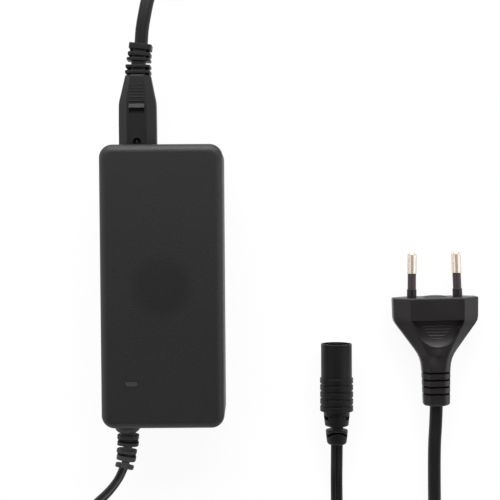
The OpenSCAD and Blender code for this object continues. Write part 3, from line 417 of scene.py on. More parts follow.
def slab(name, w, t, r, y, length, edge=0.25, taper=(0, 0)):
    """Rounded slab square to the Y axis, from y to y + length, with eased ends that may be drawn in."""
    rings = []
    for at, draw, way in ((y, taper[0], 1), (y + length, taper[1], -1)):
        reach = max(edge, draw * 0.9)
        stops = [
            (at + way * reach * (1 - cos(a)), (edge + draw) * (1 - sin(a)))
            for a in (radians(90 * k / EDGE_STEPS) for k in range(EDGE_STEPS + 1))
        ]
        for place, inset in stops if way > 0 else reversed(stops):
            flat = box_outline(w - 2 * inset, t - 2 * inset, max(r - inset * 0.5, 0.1))
            rings.append([(p.x, place, p.y) for p in flat])
    return loft(name, rings)


def lathe(name, profile, segments=64):
    """Turned piece about the local Y axis, from (distance along, radius) points."""
    rings = [
        [(r * cos(2 * pi * k / segments), y, r * sin(2 * pi * k / segments)) for k in range(segments)]
        for y, r in map(Vector, profile)
    ]
    return loft(name, rings)


def eased(points, radius, steps=4):
    """Open line of (distance along, radius) points with its inner corners eased into curves."""
    line = [Vector(points[0])]
    for before, here, after in zip(points, points[1:], points[2:]):
        here = Vector(here)
        back, ahead = Vector(before) - here, Vector(after) - here
        line += corner_arc(here, back, ahead, min(radius, 0.45 * back.length, 0.45 * ahead.length), steps)
    return line + [Vector(points[-1])]


def move(piece, at, turn=0):
    """Moves a piece's mesh: first a turn about Z, then a shift."""
    piece.data.transform(Matrix.Translation(Vector(at) * MM) @ Matrix.Rotation(radians(turn), 4, "Z"))
    return piece


def mirror(piece, axis):
    """Turns a piece's mesh over along an axis and keeps its faces outwards."""
    piece.data.transform(Matrix.Scale(-1, 4, axis))
    piece.data.flip_normals()
    return piece


def bake(piece):
    """Applies a piece's modifiers to its mesh."""
    evaluated = piece.evaluated_get(bpy.context.evaluated_depsgraph_get())
    mesh = bpy.data.meshes.new_from_object(evaluated)
    piece.modifiers.clear()
    old = piece.data
    piece.data = mesh
    bpy.data.meshes.remove(old)


def combine(piece, others, operation="UNION"):
    """Joins other pieces to a piece, or cuts them out of it, as solids."""
    for other in others:
        modifier = piece.modifiers.new("combine", "BOOLEAN")
        modifier.operation = operation
        modifier.solver = "EXACT"
        modifier.object = other
    bpy.context.view_layer.update()
    bake(piece)
    for other in others:
        mesh = other.data
        bpy.data.objects.remove(other)
        bpy.data.meshes.remove(mesh)
    return piece


def smooth(piece, angle):
    """Smooth shading that keeps edges sharper than the angle."""
    mesh = piece.data
    mesh.polygons.foreach_set("use_smooth", [True] * len(mesh.polygons))
    mesh.set_sharp_from_angle(angle=radians(angle))
    weighted = piece.modifiers.new("weighted_normal", "WEIGHTED_NORMAL")
    weighted.keep_sharp = True


def settle(piece, finish, body, replaces, angle=32):
    """Gives a finished piece its material, smooth shading and body, and hides the CAD nodes that it stands
    for.
    """
    piece.data.materials.clear()
    piece.data.materials.append(MATERIALS[finish])
    smooth(piece, angle)
    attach(piece, body)
    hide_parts(*replaces)


# ------------------------------------------------------------------ cords

# Width and thickness of each cord, and the length of its ends inside the pieces that hold it
MAINS_W, MAINS_T = 5.4, 3.3
OUT_W, OUT_T = 5.0, 2.7
CORD_INSIDE = 1.2

# Coils: place along Y, gap between turns, height over the table (the tie passes below with a gap),
# points on each turn, and the share of a turn in which the cord climbs to the upper layer
COIL_Y = -137
TURN_GAP = 0.6
TIE_T, TIE_GAP = 0.8, 0.1
COIL_LIFT = TIE_T + TIE_GAP
TURN_POINTS = 24
CLIMB = 0.5

# One coil: place across (x), height of its lower layer (z), outer radius, steps inwards and upwards,
# turns inwards and outwards, start angle and direction
Coil = namedtuple("Coil", "x z radius step layer turns_in turns_out start way")
MAINS_COIL = Coil(
    x=128, z=COIL_LIFT + MAINS_T / 2, radius=33, step=MAINS_W + TURN_GAP, layer=MAINS_T + TURN_GAP,
    turns_in=2, turns_out=2.11, start=0, way=-1,
)
OUTPUT_COIL = Coil(
    x=53.4, z=COIL_LIFT + OUT_T / 2, radius=34, step=OUT_W + TURN_GAP, layer=OUT_T + TURN_GAP,
    turns_in=3, turns_out=2.86, start=-90, way=1,
)

# Routes of the cords between their ends and their coils: x, y, z and roll
MAINS_RUN = [
    (-8.1, 103, 15, 0), (-7.1, 109, 14.8, 0), (-5.6, 116, 14.2, 0),
    (-2.7, 124, 13, 0), (2, 131.5, 11, 0), (9, 137, 8.5, 0), (19, 140, 5.8, 0),
    (31, 141.2, 3.6, 0), (44, 141.5, 2.2, 0), (58, 141.5, 1.7, 0), (72, 141.5, 1.7, 0),
    (86, 141.5, 1.7, 0), (100, 141.5, 1.7, 0), (114, 141.5, 1.7, 0), (127, 139.6, 1.7, 0),
    (139, 135, 1.7, 0), (149, 127.5, 1.7, 0), (156, 118, 1.7, 0), (160, 107, 1.7, 0),
    (161, 95, 1.7, 0), (161, 81, 1.7, 0), (161, 67, 1.7, 0), (161, 53, 1.7, 0),
    (161, 39, 1.7, 0), (161, 25, 1.7, 0), (161, 11, 1.7, 0), (161, -3, 1.7, 0),
    (161, -17, 1.7, 0), (161, -31, 1.7, 0), (161, -45, 1.7, 0), (161, -59, 1.7, 0),
    (161, -73, 1.7, 0), (161, -87, 1.7, 0), (161, -101, 1.7, 0), (161, -114, 1.8, 0),
    (161, -124, 2.3, 0),
]
MAINS_TAIL = [
    (108.7, -107, 5.4, 0), (110.8, -101, 4.3, 0), (111.5, -94, 3.4, 0), (111.6, -85, 2.9, 0),
    (111.6, -76, 2.9, 0), (111.6, -67.5, 3.8, 0), (111.7, -59.5, 5.6, 0),
]
OUTPUT_RUN = [
    (-18.95, -78.2, 14.6, 68), (-20.95, -81.4, 13.3, 66),
    (-23.8, -85, 12.1, 60), (-27.4, -88.8, 10.3, 52), (-31.6, -93.2, 7.9, 42),
    (-35.4, -98.8, 5.3, 30), (-37.8, -105.6, 3.2, 18), (-38.2, -113.6, 1.8, 7),
    (-36, -122.6, 1.4, 0), (-31.2, -131.4, 1.4, 0), (-24.2, -139.8, 1.4, 0),
    (-15, -147.8, 1.4, 0), (-4, -155, 1.4, 0), (8, -161.2, 1.4, 0), (21, -166.2, 1.4, 0),
    (34, -169.6, 1.6, 0), (43, -170.8, 2, 0),
]
OUTPUT_TAIL = [
    (73, -107.6, 5.5, 0), (71.2, -102, 4.4, 0), (70.6, -95.5, 3.5, 0),
    (70.5, -88.5, 3.1, 0), (70.45, -81, 3.6, 0), (70.4, -74, 5.3, 0),
]
# Distance between the points of a cord's curve
STEP = 2.2
# Groove along the mains cord: depth and half width
CORD_GROOVE_T, CORD_GROOVE_W = 0.05, 0.5


def coil_radius(coil, turn):
    """Distance of the cord from the coil's middle after some turns: it shrinks, then grows again."""
    back = coil.turns_in + CLIMB / 2
    return coil.radius - coil.step * (turn if turn < back else 2 * back - turn)


def coil_route(coil):
    """Points of a coil that winds inwards, then outwards on top of itself."""
    turns = coil.turns_in + CLIMB + coil.turns_out
    steps = ceil(turns * TURN_POINTS)
    route = []
    for i in range(steps + 1):
        turn = turns * i / steps
        angle = radians(coil.start + coil.way * 360 * turn)
        rise = coil.layer * min(max((turn - coil.turns_in) / CLIMB, 0), 1)
        r = coil_radius(coil, turn)
        route.append((coil.x + r * cos(angle), COIL_Y + r * sin(angle), coil.z + rise, 0))
    return route


def curve_through(points):
    """Smooth curve through points of any number of values, with a point about every STEP."""
    points = [np.array(p, float) for p in points]
    points = [2 * points[0] - points[1], *points, 2 * points[-1] - points[-2]]
    curve = []
    for p0, p1, p2, p3 in zip(points, points[1:], points[2:], points[3:]):
        knots = [0]
        for a, b in ((p0, p1), (p1, p2), (p2, p3)):
            knots.append(knots[-1] + max(np.linalg.norm((b - a)[:3]), 1e-6) ** 0.5)
        t0, t1, t2, t3 = knots
        count = max(1, round(np.linalg.norm((p2 - p1)[:3]) / STEP))
        for k in range(count):
            t = t1 + (t2 - t1) * k / count
            a1 = (t1 - t) / (t1 - t0) * p0 + (t - t0) / (t1 - t0) * p1
            a2 = (t2 - t) / (t2 - t1) * p1 + (t - t1) / (t2 - t1) * p2
            a3 = (t3 - t) / (t3 - t2) * p2 + (t - t2) / (t3 - t2) * p3
            b1 = (t2 - t) / (t2 - t0) * a1 + (t - t0) / (t2 - t0) * a2
            b2 = (t3 - t) / (t3 - t1) * a2 + (t - t1) / (t3 - t1) * a3
            curve.append((t2 - t) / (t2 - t1) * b1 + (t - t1) / (t2 - t1) * b2)
    return curve + [points[-2]]


def flat_section(w, t, points=12):
    """Section of a flat cord: two half rounds and straight sides, with a faint groove in the middle."""
    r, c = t / 2, (w - t) / 2
    cap = [(c + r * cos(a), r * sin(a)) for a in np.linspace(-pi / 2, pi / 2, points)]
    side = [
        (x, r - CORD_GROOVE_T * np.exp(-(x / CORD_GROOVE_W) ** 2)) for x in np.linspace(c, -c, 9)[1:-1]
    ]
    half = cap + side
    return half + [(-x, -y) for x, y in half]


def twin_section(w, t, points=14):
    """Section of a twin cord: two round strands that run into each other."""
    r, c = t / 2, (w - t) / 2
    lift = np.arccos(min(c / r, 0.86))
    strand = [(c + r * cos(a), r * sin(a)) for a in np.linspace(lift - pi, pi - lift, points)]
    return strand + [(-x, -y) for x, y in strand]


def sweep(name, route, section):
    """Skin of a section swept along x, y, z, roll points, kept level except for the roll."""
    rings = []
    for i, at in enumerate(route):
        before, after = route[max(i - 1, 0)], route[min(i + 1, len(route) - 1)]
        along = Vector(after[:3] - before[:3]).normalized()
        side = along.cross(Vector((0, 0, 1))).normalized()
        up = side.cross(along)
        roll = radians(at[3])
        across = side * cos(roll) + up * sin(roll)
        over = up * cos(roll) - side * sin(roll)
        rings.append([Vector(at[:3]) + across * x + over * y for x, y in section])
    return loft(name, rings)


def along_y(degrees, sign):
    """Direction in the table's plane, turned from +Y towards +X, or its mirror towards -Y."""
    return Vector((sign * sin(radians(degrees)), sign * cos(radians(degrees)), 0))


def make_cord(
    name, start, leave, run, coil, tail, end, arrive, section, finish, body,
    replaces,
):
    """One cord from its strain relief through its coil to the piece on its far end."""
    roll = run[0][3]
    points = [(*(start - leave * CORD_INSIDE), roll), (*start, roll), *run, *coil_route(coil), *tail]
    points += [(*end, 0), (*(end + arrive * CORD_INSIDE), 0)]
    route = curve_through(points)
    cord = sweep(name, route, section)
    settle(cord, finish, body, replaces, angle=60)


# ------------------------------------------------------------------ output strain relief

# Turned collar at the case: distance from the case and radius
COLLAR = (
    (-4.15, 0), (-4.15, 4.6), (-2.35, 4.6), (-2.35, 3.1), (0.15, 3.1), (0.15, 5.2), (1.9, 5.2),
    (2.5, 5.0), (3.0, 4.7), (3.4, 4.35), (3.75, 3.9), (4.0, 3.4), (4.15, 3.1), (4.15, 0),
)
# Core: start, length, width, thickness, shift and turn of each piece
OUTPUT_CORE = (
    (3.0, 2.6, 5.9, 6.2, -0.17, 0), (5.0, 4.0, 3.1, 3.0, -0.15, 2), (6.2, 1.8, 8.3, 1.6, -0.17, 1),
    (8.9, 2.4, 3.3, 6.3, -0.02, 5), (11.0, 4.0, 3.1, 3.0, 0.1, 7), (12.2, 1.5, 7.6, 1.6, 0.45, 7),
    (14.8, 3.6, 3.2, 5.6, 0.62, 14),
)
# Blocks: the same, and how far the two ends are drawn in
OUTPUT_BLOCKS = (
    (4.9, 1.65, 8.8, 7.4, -0.17, 1.5, (0.25, 0)), (7.8, 1.5, 8.7, 7.4, -0.12, 5, (0, 0.25)),
    (11.0, 1.3, 8.2, 7.2, 0.4, 7, (0.25, 0)), (13.5, 1.85, 7.9, 7.0, 0.55, 10.5, (0, 0.25)),
    (17.15, 1.45, 7.55, 3.6, 1.3, 13, (0, 0)),
)


def bent(piece, start, shift, turn, way):
    """Places a slab of a strain relief: it is shifted and turned to the side that way says, 1 or -1."""
    return move(piece, (way * shift, start, 0), -way * turn)


def make_output_relief():
    """Flared collar, then two pairs of soft blocks and a thin plate, on a core that bends with the cord."""
    parts = [
        bent(slab("core", w, t, min(1.4, t / 2.2), 0, length), start, shift, turn, -1)
        for start, length, w, t, shift, turn in OUTPUT_CORE
    ]
    parts += [
        bent(slab("block", w, t, min(3.2, t / 2.3), 0, length, 0.2, taper), start, shift, turn, -1)
        for start, length, w, t, shift, turn, taper in OUTPUT_BLOCKS
    ]
    relief = mirror(combine(lathe("output_relief", COLLAR), parts), (0, 1, 0))
    move(relief, (OUTLET_X, -CASE_L / 2, SEAM_Z))
    settle(relief, "relief", "adapter", ["output_strain_relief"])


# ------------------------------------------------------------------ output connector


def arched_cut(name, half, y, sag, middle, end, side, heights):
    """Cutter across the connector whose ends lie further along it, and may be longer, than its middle."""
    rings = []
    for x in np.linspace(-half, half, 11):
        bend = (x / half) ** 2
        near, far = y + sag * bend, y + sag * bend + middle + (end - middle) * bend
        low, high = (side * z for z in heights)
        rings.append([(x, near, low), (x, near, high), (x, far, high), (x, far, low)])
    return loft(name, rings)


# Grip ribs of the barrel: count, start, pitch, and radii of the grooves and of the ribs
RIBS, RIB_START, RIB_PITCH, GROOVE_R, RIB_R = 5, 14, 2.9, 6.4, 6.85
# The mouth holds the socket; a ring of hollow parts the inner sleeve's wall from the barrel's
MOUTH = [
    (14.5, 0), (14.5, 3.3), (3, 3.3), (3, 4.0), (0.5, 4.0),
    (0.5, 4.35), (3.0, 4.35), (3.0, 5.75), (0.0, 5.75),
]


def make_output_connector():
    """Turned barrel with five grip ribs, then a collar, a neck and a tapered block on the cord."""
    line = [(0.0, 6.38), (6, 6.38), (RIB_START - 0.2, GROOVE_R)]
    for k in range(RIBS):
        y = RIB_START + RIB_PITCH * k
        line += [(y, GROOVE_R), (y + 0.15, RIB_R), (y + 2.15, RIB_R), (y + 2.3, GROOVE_R)]
    back = RIB_START + RIB_PITCH * RIBS
    line += [
        (back - 0.4, 6.0), (back - 0.3, 5.38), (back + 1.8, 5.34), (back + 2.6, 5.2), (back + 3.5, 5.1),
        (back + 5.2, 4.92), (back + 5.5, 4.6), (back + 5.7, 2.45), (back + 7.2, 2.45), (back + 7.3, 4.45),
        (back + 7.5, 4.57), (back + 9.5, 4.45), (back + 12.3, 4.1), (back + 12.9, 3.8),
        (CONNECTOR_L, 3.4), (CONNECTOR_L, 0),
    ]
    body = lathe("output_connector", MOUTH + eased(line, 0.07), 72)
    combine(body, [slab("neck", 4.9, 8.6, 1.2, back + 5.0, 3.4, 0.1)])
    cuts = []
    for side in (-1, 1):
        # An arched groove over the last block, and a fine line and two slots on the collar
        cuts.append(arched_cut("groove", 4.2, back + 7.5, 1.6, 0.85, 1.5, side, (1.6, 7)))
        cuts.append(arched_cut("line", 5.6, back + 0.75, 1.0, 0.3, 0.3, side, (0.5, 4.95)))
        for x in (-4.45, 4.45):
            cuts.append(move(slab("slot", 1.7, 3.8, 0.2, back + 1.3, 1.5, 0.1), (x, 0, side * 2.9)))
    combine(body, cuts, "DIFFERENCE")
    move(body, CONNECTOR_AT, 180)
    settle(body, "output_connector", "adapter", ["output_connector_body"])


# ------------------------------------------------------------------ mains connector

# Main section of the grip: half width of its flat faces, half height, half height of its sides, rounding
GRIP_FLAT, GRIP_H, GRIP_SIDE, GRIP_SOFT = 4.0, 5.2, 2.3, 0.7
# Sections of the grip: distance from the case, half width, half width of the flat faces and half height
GRIP_SECTIONS = (
    (0.3, 7.3, 3.9, 4.9), (0.45, 7.5, 4.0, 5.08), (0.75, 7.6, GRIP_FLAT, GRIP_H),
    (9, 7.6, GRIP_FLAT, GRIP_H), (16.2, 7.52, GRIP_FLAT, GRIP_H), (17.8, 7.4, 3.95, 5.16),
    (19.2, 7.12, 3.85, 5.08), (21, 6.7, 3.75, 4.95), (23.2, 6.22, 3.4, 4.88), (25.6, 5.72, 3.0, 4.82),
    (27.4, 5.32, 2.75, 4.75), (28.2, 5.18, 2.65, 4.68), (28.45, 5.0, 2.5, 4.5),
)
# The grip leans with the cord: where that starts, and how far it goes at the grip's end
LEAN_FROM, LEAN = 17, 0.3
# Figure-eight nose: width, thickness, and its sections as distance from the case and inset
NOSE_W, NOSE_T = 15.2, 7.6
NOSE_SECTIONS = ((-13, 0.5), (-12.8, 0.2), (-12.5, 0), (0.6, 0))
# Holes for the contacts: distance from the middle and radius
HOLE_X, HOLE_R = 4.3, 1.86
# Strain relief: start behind the grip, length, width, thickness, shift and turn of its core and its blocks
MAINS_CORE = (
    (-1.0, 7.6, 5.6, 6.6, 0.3, 2), (4.8, 7.0, 5.3, 6.2, 0.6, 6),
    (-1.0, 4.9, 9.2, 2.0, 0.34, 1), (6.2, 5.8, 8.2, 1.8, 0.72, 5),
)
MAINS_BLOCKS = (
    (0.65, 1.15, 10.15, 8.2, 0.32, 0.5), (2.95, 1.1, 9.95, 8.0, 0.41, 1), (5.8, 1.02, 9.5, 7.7, 0.64, 4),
    (7.75, 1.35, 9.2, 7.5, 0.93, 4.5),
    (MAINS_BLOCK.start, MAINS_BLOCK.length, 9.1, 7.3, MAINS_BLOCK.shift, MAINS_BLOCK.turn),
)


def grip_ring(y, half_w, face_w, half_h):
    lean = LEAN * max(0, (y - LEAN_FROM) / (GRIP_END - LEAN_FROM))
    outline = chamfered(
        half_w, face_w, half_h, GRIP_SIDE * half_h / GRIP_H, GRIP_SOFT * 1.6, GRIP_SOFT, [1, 2, 4, 2],
    )
    return [(p.x + lean, y, p.y) for p in outline]


def figure_eight(w, t, waist=0.78, steps=14):
    """Two rounds joined by a narrower waist."""
    r, c = t / 2, (w - t) / 2
    lift = np.arcsin(waist)
    right = [(c + r * cos(a), r * sin(a)) for a in np.linspace(-(pi - lift), pi - lift, 2 * steps)]
    return right + [(-x, -y) for x, y in right]


def wedge(name, w, top, y0, y1, rise, sink):
    """Wedge across the connector that rises from the far end at y1 to its high edge at y0."""
    corners = [(y0, top - sink), (y0, top + rise), (y0 + 0.12, top + rise), (y1, top), (y1, top - sink)]
    return loft(name, [[(x, y, z) for y, z in corners] for x in (-w / 2, w / 2)])


def face_details(side):
    """Solids to add, to cut, and to add last (a tongue) on the grip's upper (1) or lower (-1) face."""
    # A bar that rises towards the thumb's recess, with a fine line and ridges behind it
    bar = wedge("bar", 6.2, GRIP_H, 15.05, 16.75, 0.5, 1.2)
    adds = [
        bar if side > 0 else mirror(bar, (0, 0, 1)),
        move(slab("line", 6.4, 0.9, 0.15, 17.6, 0.35, 0.1), (0, 0, side * (GRIP_H - 0.28))),
    ]
    at, *_, heights = zip(*GRIP_SECTIONS)
    for k in range(5):
        y = 19.2 + 1.25 * k
        face = float(np.interp(y, at, heights))
        ridge = slab("ridge", 6.6 - 0.25 * k, 0.7, 0.15, y, 0.45, 0.12)
        adds.append(move(ridge, (0, 0, side * (face - 0.27))))
    arch = [(1.6 * cos(a), 1.6 + 1.5 * sin(a)) for a in np.linspace(0, pi, 13)] + [(-1.6, 0.2), (1.6, 0.2)]
    depths = (side * (GRIP_H - 1.6), side * (GRIP_H + 1))
    cuts = [
        move(slab("recess", 6.2, 1.9, 0.2, 13.0, 2.1, 0.12), (0, 0, side * GRIP_H)),
        loft("arch", [[(x, y + 0.1, z) for x, y in arch] for z in depths]),
    ]
    tongue = move(slab("tongue", 0.8, 1.3, 0.25, 0.5, 1.9, 0.15), (0, 0, side * (GRIP_H - 1.35)))
    return adds, cuts, tongue


def make_mains_connector():
    """Nose, tapered grip with thumb details, and a bent strain relief with slots down both sides."""
    grip = loft("mains_connector", [grip_ring(*section) for section in GRIP_SECTIONS])
    nose = figure_eight(NOSE_W, NOSE_T)
    adds = [loft("nose", [
        [(x * (1 - inset / (NOSE_W / 2)), y, z * (1 - inset / (NOSE_T / 2))) for x, z in nose]
        for y, inset in NOSE_SECTIONS
    ])]
    cuts = [
        move(lathe("hole", [(-14, HOLE_R), (-1, HOLE_R)], 32), (side * HOLE_X, 0, 0)) for side in (-1, 1)
    ]
    tongues = []
    for side in (1, -1):
        face_adds, face_cuts, tongue = face_details(side)
        adds += face_adds
        cuts += face_cuts
        tongues.append(tongue)
    for start, length, w, t, shift, turn in MAINS_CORE:
        core = slab("core", w, t, 1.4 if t > 3 else 0.8, 0, length, 0.25)
        adds.append(bent(core, GRIP_END + start, shift, turn, 1))
    for start, length, w, t, shift, turn in MAINS_BLOCKS:
        block = slab("block", w, t, 1.4, 0, length, 0.14)
        adds.append(bent(block, GRIP_END + start, shift, turn, 1))
    combine(grip, adds)
    combine(grip, cuts, "DIFFERENCE")
    combine(grip, tongues)
    move(grip, (INLET_X, CASE_L / 2, SEAM_Z))
    settle(grip, "connector", "mains_lead", ["mains_connector_body"])


# ------------------------------------------------------------------ mains plug

# Sections of the plug's body: distance behind its face, half widths at the sides and of the flat faces,
# half heights at the flat faces and at the sides
PLUG_SECTIONS = np.array((
    (0.0, 17.2, 10.7, 6.45, 2.4), (0.12, 17.45, 10.9, 6.65, 2.55), (0.45, 17.6, 11.05, 6.85, 2.7),
    (8.0, 17.45, 11.0, 6.85, 2.7), (9.7, 17.1, 10.85, 6.82, 2.7), (11.3, 16.15, 10.2, 6.7, 2.68),
    (14.5, 13.8, 8.6, 6.4, 2.55), (17.9, 11.35, 6.9, 6.05, 2.4), (20.4, 9.55, 5.7, 5.75, 2.25),
    (21.4, 8.85, 5.3, 5.55, 2.2), (23.4, 7.55, 4.4, 5.1, 2.1), (25.4, 6.65, 3.9, 4.85, 2.0),
    (27.4, 6.15, 3.6, 4.7, 1.9), (29.6, 5.92, 3.4, 4.6, 1.85), (31.0, 5.86, 3.35, 4.57, 1.85),
    (44.0, 5.5, 3.1, 4.35, 1.75), (44.5, 5.3, 2.9, 4.15, 1.6), (PLUG_END, 4.9, 2.6, 3.8, 1.4),
))
# Scoop for the fingertip: top edge, middle and radius of its round end, and the width of its wall
SCOOP_TOP, SCOOP_MIDDLE, SCOOP_R, SCOOP_WALL = 9.6, 11.4, 8.85, 0.35
# Its sides flare in a straight line above this distance, from this half width at this slope
FLARE_FROM, FLARE_W, FLARE = 12.8, 8.74, 0.93
# Its floor: height, and where and how fast that starts to rise
SCOOP_FLOOR, RISE_FROM, RISE = 4.1, 14.2, 0.0424
# Ribs on its floor: distance behind the face, width and height
SCOOP_RIBS = (
    (11.7, 12.8, 0.22), (13.05, 10.9, 0.16), (14.35, 9.4, 0.17), (15.65, 7.2, 0.15), (16.9, 4.4, 0.08),
)
# A rib slopes up gently on the pins' side and drops steeply on the cord's
RIB_STEPS = (-0.45, 0.14, 0.28)
# Grooves round the plug's strain relief: places, half width, and depth at the flat faces and at the sides
PLUG_GROOVES = [31.2 + 2.93 * k for k in range(4)]
PLUG_GROOVE_W, PLUG_GROOVE_T, PLUG_GROOVE_SIDE = 0.42, 2.7, 0.12
# Hollow between the scoop and the strain relief: depth and half width
HOLLOW_T, HOLLOW_W = 0.8, 2.6


def eased_step(value, low, high):
    t = min(1.0, max(0.0, (value - low) / (high - low)))
    return t * t * (3 - 2 * t)


def scoop_half(y):
    """Half width of the finger scoop: a round end that flares towards its steep top edge."""
    if y < SCOOP_TOP - 0.5 or y >= SCOOP_MIDDLE + SCOOP_R:
        return 0.0
    if y > FLARE_FROM:
        return sqrt(SCOOP_R ** 2 - (y - SCOOP_MIDDLE) ** 2)
    return FLARE_W + FLARE * (FLARE_FROM - y)


def scoop_floor(x, y):
    """Height of the scoop's floor: level below the top edge, then ever steeper, with short ribs."""
    floor = SCOOP_FLOOR + RISE * max(0.0, y - RISE_FROM) ** 2
    for at, width, height in SCOOP_RIBS:
        rib = float(np.interp(y - at, RIB_STEPS, (0, height, 0)))
        floor += rib * eased_step(width / 2 - abs(x), -0.3, 0.2)
    return floor


def plug_stops():
    """Distances behind the plug's face that get a ring of points: closer where the form changes."""
    stops = {row[0] for row in PLUG_SECTIONS}
    for start, step, count in (
        (0.45, 0.9, 9), (SCOOP_TOP - 0.5, 0.12, 9), (SCOOP_TOP + 0.8, 0.3, 29),
        (SCOOP_MIDDLE + SCOOP_R - 0.75, 0.08, 11), (23.4, 0.7, 9),
    ):
        stops |= {start + step * k for k in range(count)}
    stops |= {at + offset for at, *_ in SCOOP_RIBS for offset in (*RIB_STEPS, -0.18, 0.21)}
    stops |= {at + way * offset for at in PLUG_GROOVES for offset in (0.41, 0.44, 0.6) for way in (-1, 1)}
    return sorted(stops)


def plug_ring(y):
    """Section of the plug at a distance behind its face, with the scoop, the hollow and the grooves."""
    at, *columns = PLUG_SECTIONS.T
    side_w, face_w, face_h, side_h = (np.interp(y, at, column) for column in columns)
    groove = min(abs(y - middle) for middle in PLUG_GROOVES) < PLUG_GROOVE_W
    if groove:
        side_w -= PLUG_GROOVE_SIDE
    soft = float(np.interp(y, [0, 20, 28, 45], [1.0, 1.2, 2.2, 2.2]))
    half = min(scoop_half(y), 0.985 * face_w)
    wall = min(SCOOP_WALL, 0.4 * half)
    step = eased_step(y, SCOOP_TOP - 0.5, SCOOP_TOP + 0.45)
    hollow = HOLLOW_T * eased_step(y, 20.3, 23.2) * (1 - eased_step(y, 24.5, 30.5))
    ring = []
    for p in chamfered(side_w, face_w, face_h, side_h, soft, soft * 0.8, [1, 8, 44, 8]):
        x, level = p.x, min(abs(p.y), face_h - PLUG_GROOVE_T * groove)
        if level > face_h - 0.01 and abs(x) < face_w:
            if half:
                # The points across the flat crowd at the scoop's wall, so that its edge stays clean
                spread = np.interp(abs(x) / face_w, [0, 0.7, 0.8, 1], [0, half - wall, half, face_w])
                x = copysign(float(spread), x)
                inside = step * eased_step(half - abs(x), 0, wall)
                level -= inside * max(face_h - scoop_floor(x, y), 0)
            level -= hollow * exp(-(x / HOLLOW_W) ** 2)
        ring.append((x, -y, copysign(level, p.y)))
    return ring


def make_plug():
    """Flat plug body: chamfered sides, a scoop for the fingertip on both faces, a grooved strain relief."""
    body = loft("mains_plug", [plug_ring(y) for y in plug_stops()])
    extras = []
    for side in (-1, 1):
        collar = lathe("collar", eased([(-1, 0), (-1, 1.98), (3.4, 1.98), (3.4, 0)], 0.25), 40)
        extras.append(move(collar, (side * PIN_X, 0, 0), side * PIN_TURN))
    # Low oval rise between the pins
    dome = [(y, 4.6 * sqrt(1 - (y / 0.75) ** 2)) for y in (0, 0.25, 0.45, 0.6, 0.7, 0.749)]
    pad = lathe("pad", dome, 40)
    pad.data.transform(Matrix.Diagonal((1.18, 1, 0.75, 1)))
    combine(body, extras + [pad])
    move(body, PLUG_AT, PLUG_TURN)
    settle(body, "plug", "mains_lead", ["mains_plug_body"])


# Lower part of a pin, in the plug and under its sleeve, and the sleeve: distance from the face and radius
PIN_FOOT = [
    (-11.5, 0), (-11.5, 1.9), (3.0, 1.9), (3.0, 1.3), (9.75, 1.3), (9.8, 1.9), (9.95, PIN_R),
]
PIN_SLEEVE = [(3.41, 1.31), (3.41, 1.72), (9.66, 1.72), (9.76, 1.66), (9.76, 1.31)]


def make_pins():
    """Two round pins with domed bare tips, and the dark sleeves over their lower part."""
    tip = [(PIN_L - PIN_R + PIN_R * sin(a), PIN_R * cos(a)) for a in np.linspace(0, pi / 2, 9)]
    for name, profile, finish, slot, node in (
        ("plug_pins", PIN_FOOT + tip, "nickel", "plated_contact", "mains_plug_pins"),
        ("pin_sleeves", PIN_SLEEVE, "sleeve", "sleeve_plastic", "mains_pin_sleeves"),
    ):
        first, second = (
            move(lathe(name, profile, 48), (side * PIN_X, 0, 0), side * PIN_TURN) for side in (-1, 1)
        )
        combine(first, [second])
        move(first, PLUG_AT, PLUG_TURN)
        settle(first, finish, "mains_lead", [node])


# ------------------------------------------------------------------ floor and light

# Floor: side, base colour for the rays that carry light, and the glow and shadow that make up its white
FLOOR_SIZE = 40
FLOOR_BASE, FLOOR_GLOW, FLOOR_SHADOW = 0.86, 0.92, 0.11
# World, for gloss and light: strength round the horizon and overhead, and the heights between the two
HORIZON, CEILING = 0.44, 0.08
BAND_TOP, CEILING_FROM = 0.26, 0.5
# Point under the camera at which the lights and the floor are centred
MIDDLE = (0.03, 0, 0)
# Soft lights, in metres and watts: place, aim, size and power
LIGHTS = {
    "far_light": ((0.03, 0.95, 0.78), MIDDLE, (1.4, 0.5), 13.2),
    "low_light": ((0.03, 1.2, 0.3), MIDDLE, (1.6, 0.4), 8.3),
    "left_light": ((-1.0, 0.0, 0.66), (0, 0, 0), (0.6, 1.2), 2.1),
    "right_light": ((1.05, 0.0, 0.64), (0.05, 0, 0), (0.6, 1.2), 2.7),
    "near_light": ((0.03, -0.95, 0.5), MIDDLE, (1.2, 0.5), 1.75),
}


def grey(level):
    return (level, level, level, 1)


def shows_backdrop(tree, rays):
    """1 for the rays that see the white backdrop as such, and 0 for those that carry light."""
    path = tree.nodes.new("ShaderNodeLightPath")
    share = path.outputs[rays[0]]
    for ray in rays[1:]:
        node = tree.nodes.new("ShaderNodeMath")
        node.operation = "MAXIMUM"
        tree.links.new(share, node.inputs[0])
        tree.links.new(path.outputs[ray], node.inputs[1])
        share = node.outputs["Value"]
    return share


